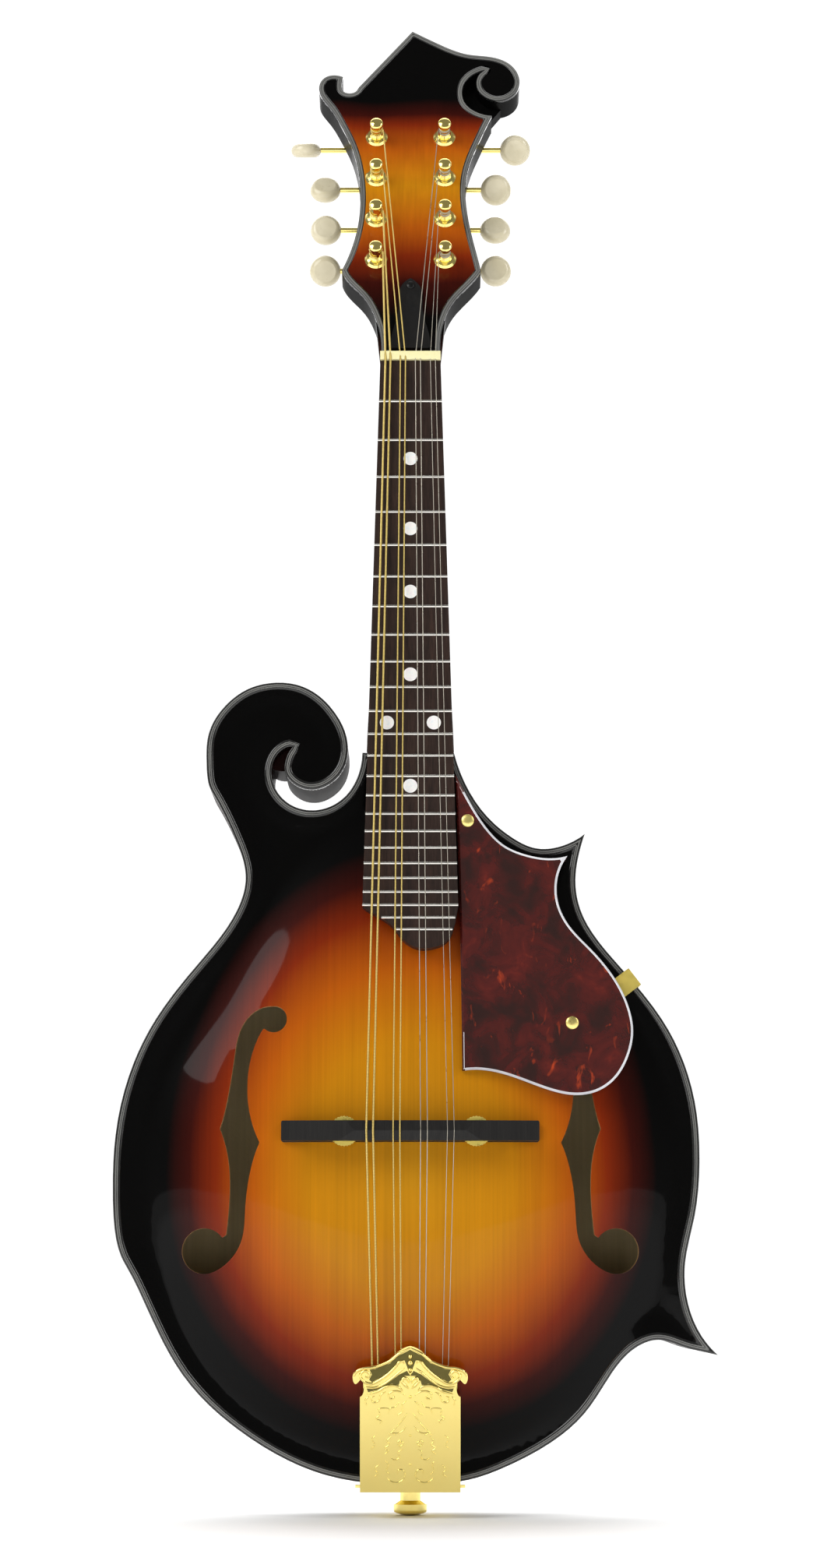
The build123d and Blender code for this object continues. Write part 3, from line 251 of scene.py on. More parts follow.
def neck_wood():
    m = Material("neck_maple", **SOFT_LACQUER)
    _, _, z = m.axes()
    along = m.math("MULTIPLY", m.math("ADD", z, 0.2), 2.4, clamp=True)
    stain = m.ramp(along, [(0.0, BLACK), (0.12, (0.03, 0.005, 0.003)), (0.28, (0.16, 0.03, 0.006)),
                           (0.40, (0.12, 0.02, 0.005)), (0.52, BLACK), (1.0, BLACK)])
    m.colour(m.mix(1.0, stain, m.grey(grain(m, 500, 500.0, 0.2)), "MULTIPLY"))
    return m.material


def head_wood():
    m = Material("headstock_sunburst", **LACQUER)
    _, _, z = m.axes()
    wander = m.math("MULTIPLY", m.math("SUBTRACT", m.noise(24.0, 2.0), 0.5), 0.008)
    along = m.math("MULTIPLY", m.math("ADD", z, wander), 6.0, clamp=True)
    burst = m.ramp(along, [(0.14, BLACK), (0.25, DARK_RED), (0.33, RED_BROWN), (0.42, ORANGE), (0.56, AMBER),
                           (0.68, ORANGE), (0.76, RED_BROWN), (0.80, DARK_RED), (0.85, BLACK)])
    m.colour(m.mix(1.0, burst, m.grey(grain(m, 200, 700.0, 0.15)), "MULTIPLY"))
    return m.material


def raw_wood(name, colour, strength=0.35):
    m = Material(name, Roughness=0.75)
    m.colour(m.mix(1.0, colour, m.grey(grain(m, 60, 600.0, strength)), "MULTIPLY"))
    m.bump(m.noise(600.0), 0.0001)
    return m.material


def dark_wood(name, colour, pore, rough):
    m = Material(name, Roughness=rough, Specular_IOR_Level=0.2, Coat_Weight=0.1, Coat_Roughness=0.3)
    pores = m.noise(1.0, 3.0, m.stretched((1500, 1500, 60)), 0.3)
    streak = m.noise(1.0, 2.0, m.stretched((260, 260, 9)), 0.5)
    shade = m.mix(m.level(streak, 0.0, 1.0), colour, pore)
    m.colour(m.mix(1.0, shade, m.grey(m.level(pores, 0.6, 1.2)), "MULTIPLY"))
    m.bump(pores, 0.00012, 0.5)
    return m.material


def metal(name, colour, rough, tint=(1, 1, 1)):
    m = Material(name, Metallic=1.0)
    haze = m.noise(90.0, 3.0)
    m.colour(m.mix(m.level(haze, 0.0, 0.35), colour, tuple(c * t for c, t in zip(colour, tint))))
    m.rough(m.level(m.noise(240.0, 4.0), rough * 0.7, rough * 1.5))
    return m.material


def plastic(name, colour, second, rough=0.22, scale=70.0, coat=0.4):
    m = Material(name, Specular_IOR_Level=0.3, Coat_Weight=coat, Coat_Roughness=0.06)
    m.colour(m.mix(m.level(m.noise(scale, 3.0), 0.0, 1.0), colour, second))
    m.rough(m.level(m.noise(500.0, 2.0), rough * 0.85, rough * 1.2))
    return m.material


def tortoiseshell():
    m = Material("tortoiseshell", Roughness=0.2, Specular_IOR_Level=0.2, Coat_Weight=1.0,
                 Coat_Roughness=0.03)
    cloud = m.noise(75.0, 5.0, None, 0.8, 0.6)
    deep = m.ramp(cloud, [(0.36, (0.022, 0.005, 0.004)), (0.50, (0.052, 0.005, 0.004)),
                          (0.62, (0.080, 0.007, 0.005)), (0.74, (0.14, 0.012, 0.006))])
    fleck_place = m.stretched((170, 170, 90), (0, 35, 0))
    fleck = m.noise(1.0, 3.0, fleck_place, 0.8, 0.55)
    spots = m.ramp(fleck, [(0.63, (0, 0, 0)), (0.75, (1, 1, 1))])
    m.colour(m.mix(spots, deep, (0.38, 0.040, 0.008)))
    return m.material


def wound_string():
    m = Material("wound_bronze", Metallic=1.0, Roughness=0.42)
    _, _, z = m.axes()
    turns = m.math("SINE", m.math("MULTIPLY", z, 2 * pi / WINDING_PITCH))
    painted_groove_shade = m.math("MULTIPLY", m.math("ADD", turns, 1.0), 0.5)
    # the colour darkens in the grooves between the turns: painted shade, besides the bump below
    m.colour(m.mix(painted_groove_shade, (0.50, 0.36, 0.09), (0.92, 0.74, 0.28)))
    m.bump(turns, 0.00006)
    return m.material


def pearl():
    m = Material("mother_of_pearl", Roughness=0.18, Coat_Weight=1.0, Coat_Roughness=0.03)
    swirl = m.noise(260.0, 3.0, None, 2.0)
    m.colour(m.ramp(swirl, [(0.35, (0.80, 0.84, 0.86)), (0.5, (0.92, 0.90, 0.86)),
                            (0.65, (0.86, 0.80, 0.84))]))
    return m.material


def screw_metal():
    """Gold screws, but a black one over the truss rod, on the middle of the headstock."""
    m = Material("screw_plate", Metallic=1.0)
    x, _, z = m.axes()
    middle = m.math("LESS_THAN", m.math("ABSOLUTE", x), 0.004)
    cover = m.math("MULTIPLY", middle, m.math("GREATER_THAN", z, 0.0))
    haze = m.mix(m.level(m.noise(90.0), 0.0, 0.4), GOLD, tuple(c * t for c, t in zip(GOLD, GOLD_TINT)))
    m.colour(m.mix(cover, haze, (0.03, 0.03, 0.03)))
    m.rough(m.level(m.noise(240.0, 4.0), 0.25, 0.40))
    return m.material


MATERIALS = {
    "top": top_wood(),
    "back": back_wood(),
    "side": side_wood(),
    "neck": neck_wood(),
    "head": head_wood(),
    "inside": raw_wood("inside_wood", (0.62, 0.50, 0.26), 0.15),
    "edge": raw_wood("plate_edge_wood", (0.50, 0.27, 0.10)),
    "spruce": raw_wood("lining_wood", (0.62, 0.42, 0.20)),
    "board": dark_wood("rosewood", (0.032, 0.016, 0.011), (0.016, 0.008, 0.006), 0.5),
    "ebony": dark_wood("ebony", (0.011, 0.010, 0.009), (0.007, 0.006, 0.006), 0.45),
    "line": plastic("binding_black", (0.006, 0.006, 0.006), (0.010, 0.010, 0.010)),
    "grey": plastic("binding_grey", (0.035, 0.035, 0.034), (0.055, 0.055, 0.052)),
    "pale": plastic("binding_pale", (0.13, 0.13, 0.125), (0.17, 0.17, 0.16)),
    "silver": plastic("guard_edge", (0.58, 0.58, 0.62), (0.70, 0.70, 0.73)),
    "tortoise": tortoiseshell(),
    "fret": metal("fret_wire", (0.74, 0.72, 0.68), 0.16),
    "gold": metal("gold_plate", GOLD, 0.13, GOLD_TINT),
    "satin": metal("satin_gold", SATIN, 0.34, GOLD_TINT),
    "recess_shade": metal("gold_painted_recess_shade", RECESS_SHADE_GOLD, 0.3),
    "screw": screw_metal(),
    "steel": metal("plain_steel", (0.42, 0.39, 0.33), 0.33),
    "wound": wound_string(),
    "pearl": pearl(),
    "bone": plastic("nut_bone", (0.80, 0.74, 0.38), (0.84, 0.78, 0.46), 0.3, 90.0),
    "cream": plastic("cream_button", (0.56, 0.50, 0.34), (0.66, 0.60, 0.44), 0.3, 130.0),
    "cover": plastic("black_cover", (0.002, 0.002, 0.002), (0.004, 0.003, 0.003), 0.45, coat=0.1),
}
NODE_LOOKS = {
    "ribs": "side",
    "neck": "neck",
    "headstock_veneer": "head",
    "linings": "spruce",
    "head_block": "spruce",
    "tail_block": "spruce",
    "point_blocks": "spruce",
    "tone_bars": "spruce",
    "truss_rod": "steel",
    "truss_rod_cover": "cover",
    "fretboard": "board",
    "frets": "fret",
    "position_dots": "pearl",
    "nut": "bone",
    "bridge_base": "ebony",
    "bridge_saddle": "ebony",
    "bridge_posts": "gold",
    "thumbwheel_bass": "satin",
    "thumbwheel_treble": "satin",
    "tailpiece_base": "gold",
    "tailpiece_cover": "gold",
    "strap_button": "gold",
    "pickguard_bracket": "satin",
    "tuner_plates": "gold",
    "wood_screws": "screw",
    "tuner_bushings": "gold",
    "strings_g": "wound",
    "strings_d": "wound",
    "strings_a": "steel",
    "strings_e": "steel",
}
for number in range(1, 9):
    NODE_LOOKS[f"tuner_{number}_button"] = "cream"
    NODE_LOOKS[f"tuner_{number}_worm_shaft"] = "gold"
    NODE_LOOKS[f"tuner_{number}_post"] = "gold"


def dress_nodes():
    """Each carried-over CAD node gets its look. The nodes with a replacement stay as they are."""
    for node, look in NODE_LOOKS.items():
        mesh = NODES[node].data
        mesh.materials.clear()
        mesh.materials.append(MATERIALS[look])


# ---- geometry helpers --------------------------------------------------------------------
def edge_loops(node, facing, keep=0.9):
    """The loops where a node's front faces meet its walls, longest first."""
    bm = bmesh.new()
    bm.from_mesh(NODES[node].data)
    bmesh.ops.remove_doubles(bm, verts=bm.verts, dist=1e-6)
    bm.normal_update()
    links = {}
    for edge in bm.edges:
        turns = sorted(face.normal.dot(facing) for face in edge.link_faces)
        if len(turns) == 2 and abs(turns[0]) < 0.3 and turns[1] > keep:
            ends = [vert.index for vert in edge.verts]
            links.setdefault(ends[0], []).append(ends[1])
            links.setdefault(ends[1], []).append(ends[0])
    loops = []
    bm.verts.ensure_lookup_table()
    unused = set(links)
    while unused:
        here = min(unused)
        loop = []
        while here is not None:
            unused.discard(here)
            loop.append(bm.verts[here].co.copy())
            here = next((n for n in links[here] if n in unused), None)
        if len(loop) > 8:
            loops.append(loop)
    bm.free()

    def length(loop):
        return sum((a - b).length for a, b in zip(loop, loop[1:] + loop[:1]))
    return sorted(loops, key=length, reverse=True)


def smooth_path(points, steps=6):
    """A Catmull-Rom curve through the points, as [(u, v)]."""
    ends = [points[0], *points, points[-1]]
    path = []
    for a, b, c, d in zip(ends, ends[1:], ends[2:], ends[3:]):
        for step in range(steps):
            t = step / steps
            path.append(tuple(0.5 * (2 * q + (r - p) * t + (2 * p - 5 * q + 4 * r - w) * t * t
                                     + (3 * q - p - 3 * r + w) * t ** 3) for p, q, r, w in zip(a, b, c, d)))
    path.append(points[-1])
    return path


def tube(bm, centres, radii, sides=8, look=0):
    """A round bar along a line of 3-D points, closed at both ends."""
    rings = []
    side_way = None
    for i, centre in enumerate(centres):
        ahead = centres[min(i + 1, len(centres) - 1)] - centres[max(i - 1, 0)]
        ahead.normalize()
        side_way = side_way or ahead.orthogonal()
        side_way = (side_way - ahead * side_way.dot(ahead)).normalized()
        other = ahead.cross(side_way)
        turns = [2 * pi * k / sides for k in range(sides)]
        rings.append([bm.verts.new(centre + (side_way * cos(t) + other * sin(t)) * radii[i]) for t in turns])
    for ring, following in zip(rings, rings[1:]):
        for k in range(sides):
            j = (k + 1) % sides
            bm.faces.new([ring[k], ring[j], following[j], following[k]]).material_index = look
    bm.faces.new(list(reversed(rings[0]))).material_index = look
    bm.faces.new(rings[-1]).material_index = look


class Face:
    """The plane of a node's flat face, with its own across and up axes."""

    def __init__(self, node, facing=(0, -1, 0)):
        mesh = NODES[node].data
        facing = Vector(facing)
        fronts = [p for p in mesh.polygons if p.normal.dot(facing) > 0.9]
        total = Vector()
        for polygon in fronts:
            total += polygon.normal * polygon.area
        self.normal = total.normalized()
        self.across = (Vector((1, 0, 0)) - self.normal * self.normal.x).normalized()
        self.up = self.normal.cross(self.across)
        depths = [vertex.co.dot(self.normal) for vertex in mesh.vertices]
        self.level = max(depths)
        self.thickness = self.level - min(depths)

    def flatten(self, points):
        return [(p.dot(self.across), p.dot(self.up)) for p in points]

    def place(self, u, v, height=0.0):
        return self.across * u + self.up * v + self.normal * (self.level + height)


def resampled(points, step):
    """A closed 2-D outline with even points, corners kept, running anticlockwise."""
    loop = np.array(points, float)
    x, y = loop[:, 0], loop[:, 1]
    if np.sum(x * np.roll(y, -1) - np.roll(x, -1) * y) < 0:
        loop = loop[::-1]
    ahead = np.roll(loop, -1, axis=0) - loop
    loop = loop[np.hypot(ahead[:, 0], ahead[:, 1]) > 1e-6]
    ahead = np.roll(loop, -1, axis=0) - loop
    heading = np.arctan2(ahead[:, 1], ahead[:, 0])
    turn = np.abs((heading - np.roll(heading, 1) + pi) % (2 * pi) - pi)
    corners = [i for i in range(len(loop)) if turn[i] > radians(35)] or [0]
    result = []
    for start, end in zip(corners, corners[1:] + [corners[0] + len(loop)]):
        run = np.array([loop[i % len(loop)] for i in range(start, end + 1)])
        gone = np.concatenate([[0], np.cumsum(np.hypot(*np.diff(run, axis=0).T))])
        count = max(2, int(round(gone[-1] / step)))
        at = np.linspace(0, gone[-1], count + 1)[:-1]
        result.append(np.stack([np.interp(at, gone, run[:, 0]), np.interp(at, gone, run[:, 1])], 1))
    return np.concatenate(result)


def inset(loop, margin):
    """The outline drawn in by a margin. Points that would fold over at a corner share its mitre."""
    if margin == 0:
        return loop.copy()
    tangent = np.roll(loop, -1, axis=0) - np.roll(loop, 1, axis=0)
    tangent /= np.hypot(tangent[:, 0], tangent[:, 1])[:, None]
    moved = loop + np.stack([-tangent[:, 1], tangent[:, 0]], 1) * margin
    tree = kdtree.KDTree(len(loop))
    for i, (x, y) in enumerate(loop):
        tree.insert((x, y, 0), i)
    tree.balance()
    good = np.array([tree.find((x, y, 0))[2] > margin * 0.985 for x, y in moved])
    count = len(loop)
    i = 0
    while i < count:
        if good[i]:
            i += 1
            continue
        end = i
        while end < count and not good[end]:
            end += 1
        moved[i:end] = (moved[i - 1] + moved[end % count]) / 2
        i = end
    return moved


def link_mesh(name, bm, materials, body, node=None):
    """Finishes a bmesh as a smooth-shaded piece that rides on a body."""
    bmesh.ops.dissolve_degenerate(bm, dist=1e-7, edges=bm.edges)
    mesh = bpy.data.meshes.new(name)
    for face in bm.faces:
        face.smooth = True
    bm.to_mesh(mesh)
    bm.free()
    for look in materials:
        mesh.materials.append(MATERIALS[look])
    piece = bpy.data.objects.new(name, mesh)
    SCENE.collection.objects.link(piece)
    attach(piece, body)
    if node:
        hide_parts(node)


def strips(bm, loop, rows, looks, place):
    """Bands between rows of a drawn-in outline: (margin, height) in millimetres, a look for each band."""
    rings = []
    for margin, height in rows:
        points = inset(loop, margin * MM)
        rings.append([bm.verts.new(place(x, y, height * MM)) for x, y in points])
    count = len(loop)
    for ring, following, look in zip(rings, rings[1:], looks):
        for i in range(count):
            j = (i + 1) % count
            corners = [ring[i], ring[j], following[j], following[i]]
            bm.faces.new(corners).material_index = look


def inside_polygon(points, polygon):
    """Which of the points are inside, by counting crossings."""
    x, y = points[:, 0], points[:, 1]
    result = np.zeros(len(points), bool)
    for (x0, y0), (x1, y1) in zip(polygon, np.roll(polygon, -1, axis=0)):
        crossing = (y0 > y) != (y1 > y)
        if y1 != y0:
            result ^= crossing & (x < (x1 - x0) * (y - y0) / (y1 - y0) + x0)
    return result


def filled(outline, holes, spacing):
    """Triangles over an outline with holes, with an even lattice of points inside."""
    low, high = outline.min(0), outline.max(0)
    rows = np.arange(low[1], high[1], spacing * 0.866)
    lattice = [(x + (row % 2) * spacing / 2, y) for row, y in enumerate(rows)
               for x in np.arange(low[0], high[0], spacing)]
    lattice = np.array(lattice)
    keep = inside_polygon(lattice, outline)
    for hole in holes:
        keep &= ~inside_polygon(lattice, hole)
    edges_at = np.concatenate([outline, *holes])
    tree = kdtree.KDTree(len(edges_at))
    for i, (x, y) in enumerate(edges_at):
        tree.insert((x, y, 0), i)
    tree.balance()
    lattice = [p for p, k in zip(lattice, keep) if k and tree.find((p[0], p[1], 0))[2] > spacing * 0.55]
    verts = [Vector(p) for p in edges_at] + [Vector(p) for p in lattice]
    edges, start = [], 0
    for loop in (outline, *holes):
        edges += [(start + i, start + (i + 1) % len(loop)) for i in range(len(loop))]
        start += len(loop)
    out_verts, _, faces, origins, _, _ = geometry.delaunay_2d_cdt(verts, edges, [], 0, 1e-7, True)
    points = np.array([(v.x, v.y) for v in out_verts])
    centres = np.array([points[list(face)].mean(0) for face in faces])
    wanted = inside_polygon(centres, outline)
    for hole in holes:
        wanted &= ~inside_polygon(centres, hole)
    faces = [face for face, k in zip(faces, wanted) if k]
    return points, faces


# ---- the carved plates -------------------------------------------------------------------
TOP_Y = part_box("top_binding")[0].y
BACK_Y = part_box("back_binding")[1].y
TOP_RISE = TOP_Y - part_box("soundboard")[0].y
BACK_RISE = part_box("back_plate")[1].y - BACK_Y
PLATE = 4.0 * MM
BINDING = 3.2 * MM
ARCH_Z = -368.0 * MM
ARCH_EDGE = [(0, -119), (58, -103), (97, -58), (110, -4), (98, 52), (70, 97), (48, 130), (24, 150),
             (0, 154)]


def arch_radius():
    """A smooth polar formula through the arch's edge: even harmonics of the angle from below."""
    angles = np.array([atan2(x, -z) for x, z in ARCH_EDGE])
    reach = np.array([hypot(x, z) for x, z in ARCH_EDGE])
    orders = np.arange(7)
    terms, *_ = np.linalg.lstsq(np.cos(np.outer(angles, orders)), reach * MM, rcond=None)
    return lambda angle: np.cos(np.outer(angle, orders)) @ terms


ARCH_RADIUS = arch_radius()


def arch_height(points, rise, edge_distance):
    """Height of a carved plate: flush at its edge, a shallow channel, then the arch."""
    dx, dz = points[:, 0], points[:, 1] - ARCH_Z
    share = np.hypot(dx, dz) / ARCH_RADIUS(np.arctan2(np.abs(dx), -dz)) / 1.06
    dome = np.where(share < 1, 1 - np.clip(share, 0, 1) ** 3.4, 0) ** 1.5
    near = np.clip(edge_distance / (9 * MM), 0, 1)
    channel = 0.7 * MM * near * near * (3 - 2 * near) * np.clip((share - 0.8) / 0.2, 0, 1)
    return rise * dome - channel


def carved_plate(outline, holes, rise, face_y, front):
    """A carved plate as one closed shell: a lacquered outside, a bare inside, and walls at its edges."""
    points, faces = filled(outline, holes, 3.0 * MM)
    tree = kdtree.KDTree(len(outline))
    for i, (x, z) in enumerate(outline):
        tree.insert((x, z, 0), i)
    tree.balance()
    edge = np.array([tree.find((x, z, 0))[2] for x, z in points])
    height = arch_height(points, rise, edge)
    way = -1 if front else 1
    bm = bmesh.new()
    outside = [bm.verts.new((x, face_y + way * h, z)) for (x, z), h in zip(points, height)]
    inside = [bm.verts.new((x, face_y + way * (h - PLATE), z)) for (x, z), h in zip(points, height)]
    sides = []
    for face in faces:
        a, b, c = face
        order = (a, b, c) if front else (a, c, b)
        bm.faces.new([outside[i] for i in order]).material_index = 0
        bm.faces.new([inside[i] for i in reversed(order)]).material_index = 1
        sides += zip(order, order[1:] + order[:1])
    shared = set(sides)
    for i, j in sides:
        if (j, i) not in shared:
            wall = bm.faces.new([outside[j], outside[i], inside[i], inside[j]])
            wall.material_index = 2
            for line in wall.edges:
                line.smooth = False
    bmesh.ops.recalc_face_normals(bm, faces=bm.faces)
    return bm


# Edge strips from the wall inwards: (margin, height) rows in millimetres, and the look between rows.
BODY_BINDING = ([(0, -4.0), (0, -0.4), (0.12, -0.1), (0.35, 0), (0.9, 0), (1.5, 0), (1.75, 0), (2.2, 0),
                 (3.2, 0), (3.2, -4.0), (0, -4.0)], [0, 2, 2, 0, 1, 0, 1, 0, 0, 0])
HEAD_BINDING = ([(0, -2.0), (0, -0.3), (0.1, -0.06), (0.3, 0), (1.0, 0), (1.25, 0), (2.1, 0), (2.6, 0),
                 (2.6, -2.0), (0, -2.0)], [0, 0, 0, 1, 2, 1, 0, 0, 0])


def closed_shell(bm):
    bmesh.ops.remove_doubles(bm, verts=bm.verts, dist=1e-6)
    bmesh.ops.recalc_face_normals(bm, faces=bm.faces)


def flat(points):
    return [(p.x, p.z) for p in points]


def make_body():
    """The carved plates and their bindings. The soundboard's second and third loops are its f-holes."""
    front = Vector((0, -1, 0))
    outline = resampled(flat(edge_loops("top_binding", front)[0]), 1.5 * MM)
    f_holes = edge_loops("soundboard", front, 0.5)[1:3]
    holes = [resampled(flat(loop), 1.2 * MM) for loop in f_holes]
    plate_edge = inset(outline, BINDING)
    step = np.roll(plate_edge, -1, axis=0) - plate_edge
    plate_edge = plate_edge[np.hypot(step[:, 0], step[:, 1]) > 0.05 * MM]

    bm = carved_plate(plate_edge, holes, TOP_RISE, TOP_Y, True)
    link_mesh("carved_soundboard", bm, ["top", "inside", "edge"], "root", "soundboard")
    bm = carved_plate(plate_edge, [], BACK_RISE, BACK_Y, False)
    link_mesh("carved_back", bm, ["back", "inside", "edge"], "root", "back_plate")
    for name, face_y, way in (("top_binding", TOP_Y, -1), ("back_binding", BACK_Y, 1)):
        bm = bmesh.new()
        strips(bm, outline, *BODY_BINDING, lambda x, z, h: (x, face_y + way * h, z))
        closed_shell(bm)
        link_mesh(f"{name}_strips", bm, ["line", "pale", "grey"], "root", name)


# ---- headstock edge and pickguard ----------------------------------------------------------
def make_head_binding():
    """The headstock's edge strips. They are plain black where the edge passes behind the nut."""
    face = Face("headstock_veneer")
    loop = edge_loops("headstock_binding", face.normal)[0]
    outline = resampled(face.flatten(loop), 1.0 * MM)
    foot = outline[:, 1].min()
    bm = bmesh.new()
    strips(bm, outline, *HEAD_BINDING, face.place)
    closed_shell(bm)
    for polygon in bm.faces:
        middle = polygon.calc_center_median()
        if middle.dot(face.up) < foot + 3.5 * MM and abs(middle.x) < 11 * MM:
            polygon.material_index = 0
    link_mesh("headstock_binding_strips", bm, ["line", "pale", "grey"], "root", "headstock_binding")


SHARP = radians(20)      # the pickguard's edges over this angle are shaded sharp


def make_pickguard():
    """The guard with a bevelled edge that shows the pale layer under the tortoiseshell."""
    face = Face("pickguard")
    loops = edge_loops("pickguard", face.normal)
    outline = resampled(face.flatten(loops[0]), 1.2 * MM)
    holes = [resampled(face.flatten(loop), 0.6 * MM) for loop in loops[1:]]
    back = -face.thickness
    bevel = 1.0
    bm = bmesh.new()
    rows = [(0, back / MM), (0, -0.85), (0.7, -0.14), (bevel, 0)]
    strips(bm, outline, rows, [0, 1, 1], face.place)
    straight = outline[:, 0].min() + 3.4 * MM    # the edge beside the fretboard has no pale layer
    for polygon in bm.faces:
        if polygon.calc_center_median().dot(face.across) < straight:
            polygon.material_index = 0
    for height, edge in ((0.0, inset(outline, bevel * MM)), (back, outline)):
        points, faces = filled(edge, holes, 4 * MM)
        verts = [bm.verts.new(face.place(x, y, height)) for x, y in points]
        for corners in faces:
            bm.faces.new([verts[i] for i in corners])
    for hole in holes:
        strips(bm, hole, [(0, 0), (0, back / MM)], [0], face.place)
    closed_shell(bm)
    for edge in bm.edges:
        edge.smooth = edge.calc_face_angle(0.0) < SHARP
    link_mesh("bevelled_pickguard", bm, ["tortoise", "silver"], "root", "pickguard")


# ---- tailpiece cover: cast relief ----------------------------------------------------------
# Strokes on the left half, mirrored to the right: points across and up from the cover's foot, and a radius.
RELIEF = [
    ([(0, 62.0), (-5, 59.4), (-8.8, 56.3), (-15, 53.8), (-19.5, 53.3), (-22.8, 52), (-24, 49.8)], 0.7),
    ([(-2.6, 55.2), (-3.4, 56.3), (-4.9, 55.8), (-6.6, 53.6), (-9.7, 50.6), (-13, 48.3), (-16.6, 46.6),
      (-19.8, 47.6), (-21.4, 50.3), (-19.4, 52.2), (-17.4, 50.8), (-18.2, 49.2), (-19.4, 49.8)], 0.62),
    ([(-2.4, 53.4), (-5.2, 51.2), (-9.1, 47.9), (-12.4, 45.9), (-15.7, 44.9), (-19.2, 45.4)], 0.5),
    ([(-0.6, 44.6), (-2.2, 46), (-3.6, 47.8), (-2.4, 49.2), (-0.9, 48.2), (-0.7, 46.9)], 0.62),
    ([(-3.2, 43.6), (-5.2, 45.4), (-8, 45.9), (-11.2, 45), (-14.1, 43.3), (-18.4, 42.2)], 0.55),
    ([(-2, 41.6), (-4.4, 43.2), (-7.2, 43.4), (-9.2, 42), (-8.6, 40.2), (-6.9, 40.6), (-7.2, 41.8)], 0.38),
    ([(-10.4, 43.2), (-12.6, 41.8), (-13.4, 39.4), (-15.6, 38.6), (-16.8, 40.4), (-15.2, 41.4)], 0.36),
    ([(-17.6, 41.2), (-19.2, 39.4), (-18.6, 37.4)], 0.34),
    ([(-1.6, 39.2), (-3.6, 37.4), (-3.4, 34.6), (-5.6, 33.2)], 0.26),
    ([(-4.6, 39), (-6.2, 36.8), (-8.6, 36), (-9.4, 33.8)], 0.24),
    ([(-8.4, 35.8), (-11, 36.2), (-13.6, 35.6), (-13, 33.4), (-14.6, 31.6), (-12.2, 30.6),
      (-13, 29.4)], 0.26),
    ([(-1.2, 34), (-3.6, 30.6), (-6.6, 27.2), (-9.2, 24.6)], 0.22),
    ([(-1.8, 28.6), (-3, 26.6), (-5.4, 25.4), (-8, 25.6), (-6.2, 24.6)], 0.26),
    ([(-4.1, 22.8), (-5.4, 21.4), (-4.3, 19.8), (-2.9, 21), (-3.9, 21.9), (-4.4, 21.1)], 0.3),
    ([(-8.2, 24), (-10, 22), (-9, 20.6), (-10.8, 19), (-9.4, 17.8), (-11, 16.4)], 0.28),
    ([(-3, 18.6), (-5.2, 17.2), (-4.6, 15), (-6.6, 14), (-8.4, 14.8)], 0.24),
    ([(-10.4, 13.6), (-9.4, 11.6), (-10.2, 9.4), (-8.6, 7.6)], 0.22),
    ([(-9.8, 6.2), (-8.4, 4.8), (-5.8, 4.2), (-3.4, 5.2), (-2.2, 7.4), (-3.2, 9.6), (-5.2, 9.6),
      (-5.4, 8)], 0.3),
    ([(-13.4, 12), (-15.2, 10), (-14, 8.2), (-15.4, 6.6)], 0.2),
    ([(-14.6, 24.6), (-16.4, 22.8), (-15.2, 20.6), (-16.8, 18.6)], 0.2),
]
# Beads on the middle line: across, up, radius.
BEADS = [(0, 58.3, 1.0), (0, 55.6, 1.2), (0, 52.6, 0.9), (0, 50.8, 0.6), (0, 41, 0.7), (0, 24.4, 0.5),
         (0, 12, 0.5)]
# Recesses on the left half, mirrored to the right: flat dark gold sheets just over the cover, their darkness
# painted shade in place of depth.
RECESSES = [
    [(0, 61.2), (-5, 58.6), (-8.6, 55.4), (-15, 52.9), (-17.4, 52.6), (-16.4, 50.6), (-17.6, 48.4),
     (-16.4, 47.3), (-13, 49), (-9.7, 51.3), (-6.6, 54.4), (-4.6, 56.6), (-2.4, 56.6), (-1.4, 54), (0, 50)],
    [(0, 50), (-1.4, 52.2), (-5, 50.4), (-9.1, 47.2), (-12.4, 45.2), (-16, 44.3), (-18.6, 44.6), (-18, 43),
     (-14.1, 44), (-11, 45.7), (-7.8, 46.6), (-4.9, 46.1), (-4.4, 47.9), (-2.4, 50)],
]


def tapered(count, radius):
    """Radii along a stroke, thin at its two ends."""
    return [radius * MM * min(1.0, 0.35 + 4.0 * min(i, count - 1 - i) / count) for i in range(count)]


def make_tailpiece_relief():
    face = Face("tailpiece_cover")
    foot = min(v.co.dot(face.up) for v in NODES["tailpiece_cover"].data.vertices) / MM

    def spot(u, v, height=0.0):
        return face.place(u * MM, (foot + v) * MM, height * MM)

    bm = bmesh.new()
    for side in (-1, 1):
        for points, radius in RELIEF:
            path = smooth_path([(-side * u, v) for u, v in points])
            tube(bm, [spot(u, v, radius * 0.25) for u, v in path], tapered(len(path), radius))
        for corners in RECESSES:
            # each recess is a flat sheet in the dark gold look: painted shade, with no depth
            ring = [bm.verts.new(spot(-side * u, v, 0.04)) for u, v in corners]
            bm.faces.new(ring if side > 0 else list(reversed(ring))).material_index = 1
    for u, v, radius in BEADS:
        bead = bmesh.ops.create_icosphere(bm, subdivisions=2, radius=radius * MM)
        bmesh.ops.translate(bm, verts=bead["verts"], vec=spot(u, v))
    bmesh.ops.triangulate(bm, faces=[f for f in bm.faces if f.material_index == 1])
    link_mesh("tailpiece_relief", bm, ["gold", "recess_shade"], "cover", None)


# ---- windings on the tuner posts -----------------------------------------------------------
WAIST_R = 2.3 * MM
STRING_HEIGHT = 6.6 * MM
COILS_FROM, COILS_TO = 4.8 * MM, 8.2 * MM
STRING_RADII = {"g": 0.48 * MM, "d": 0.33 * MM, "a": 0.19 * MM, "e": 0.14 * MM}
COURSE_OF_TUNER = {1: "g", 2: "g", 3: "d", 4: "d", 5: "e", 6: "e", 7: "a", 8: "a"}


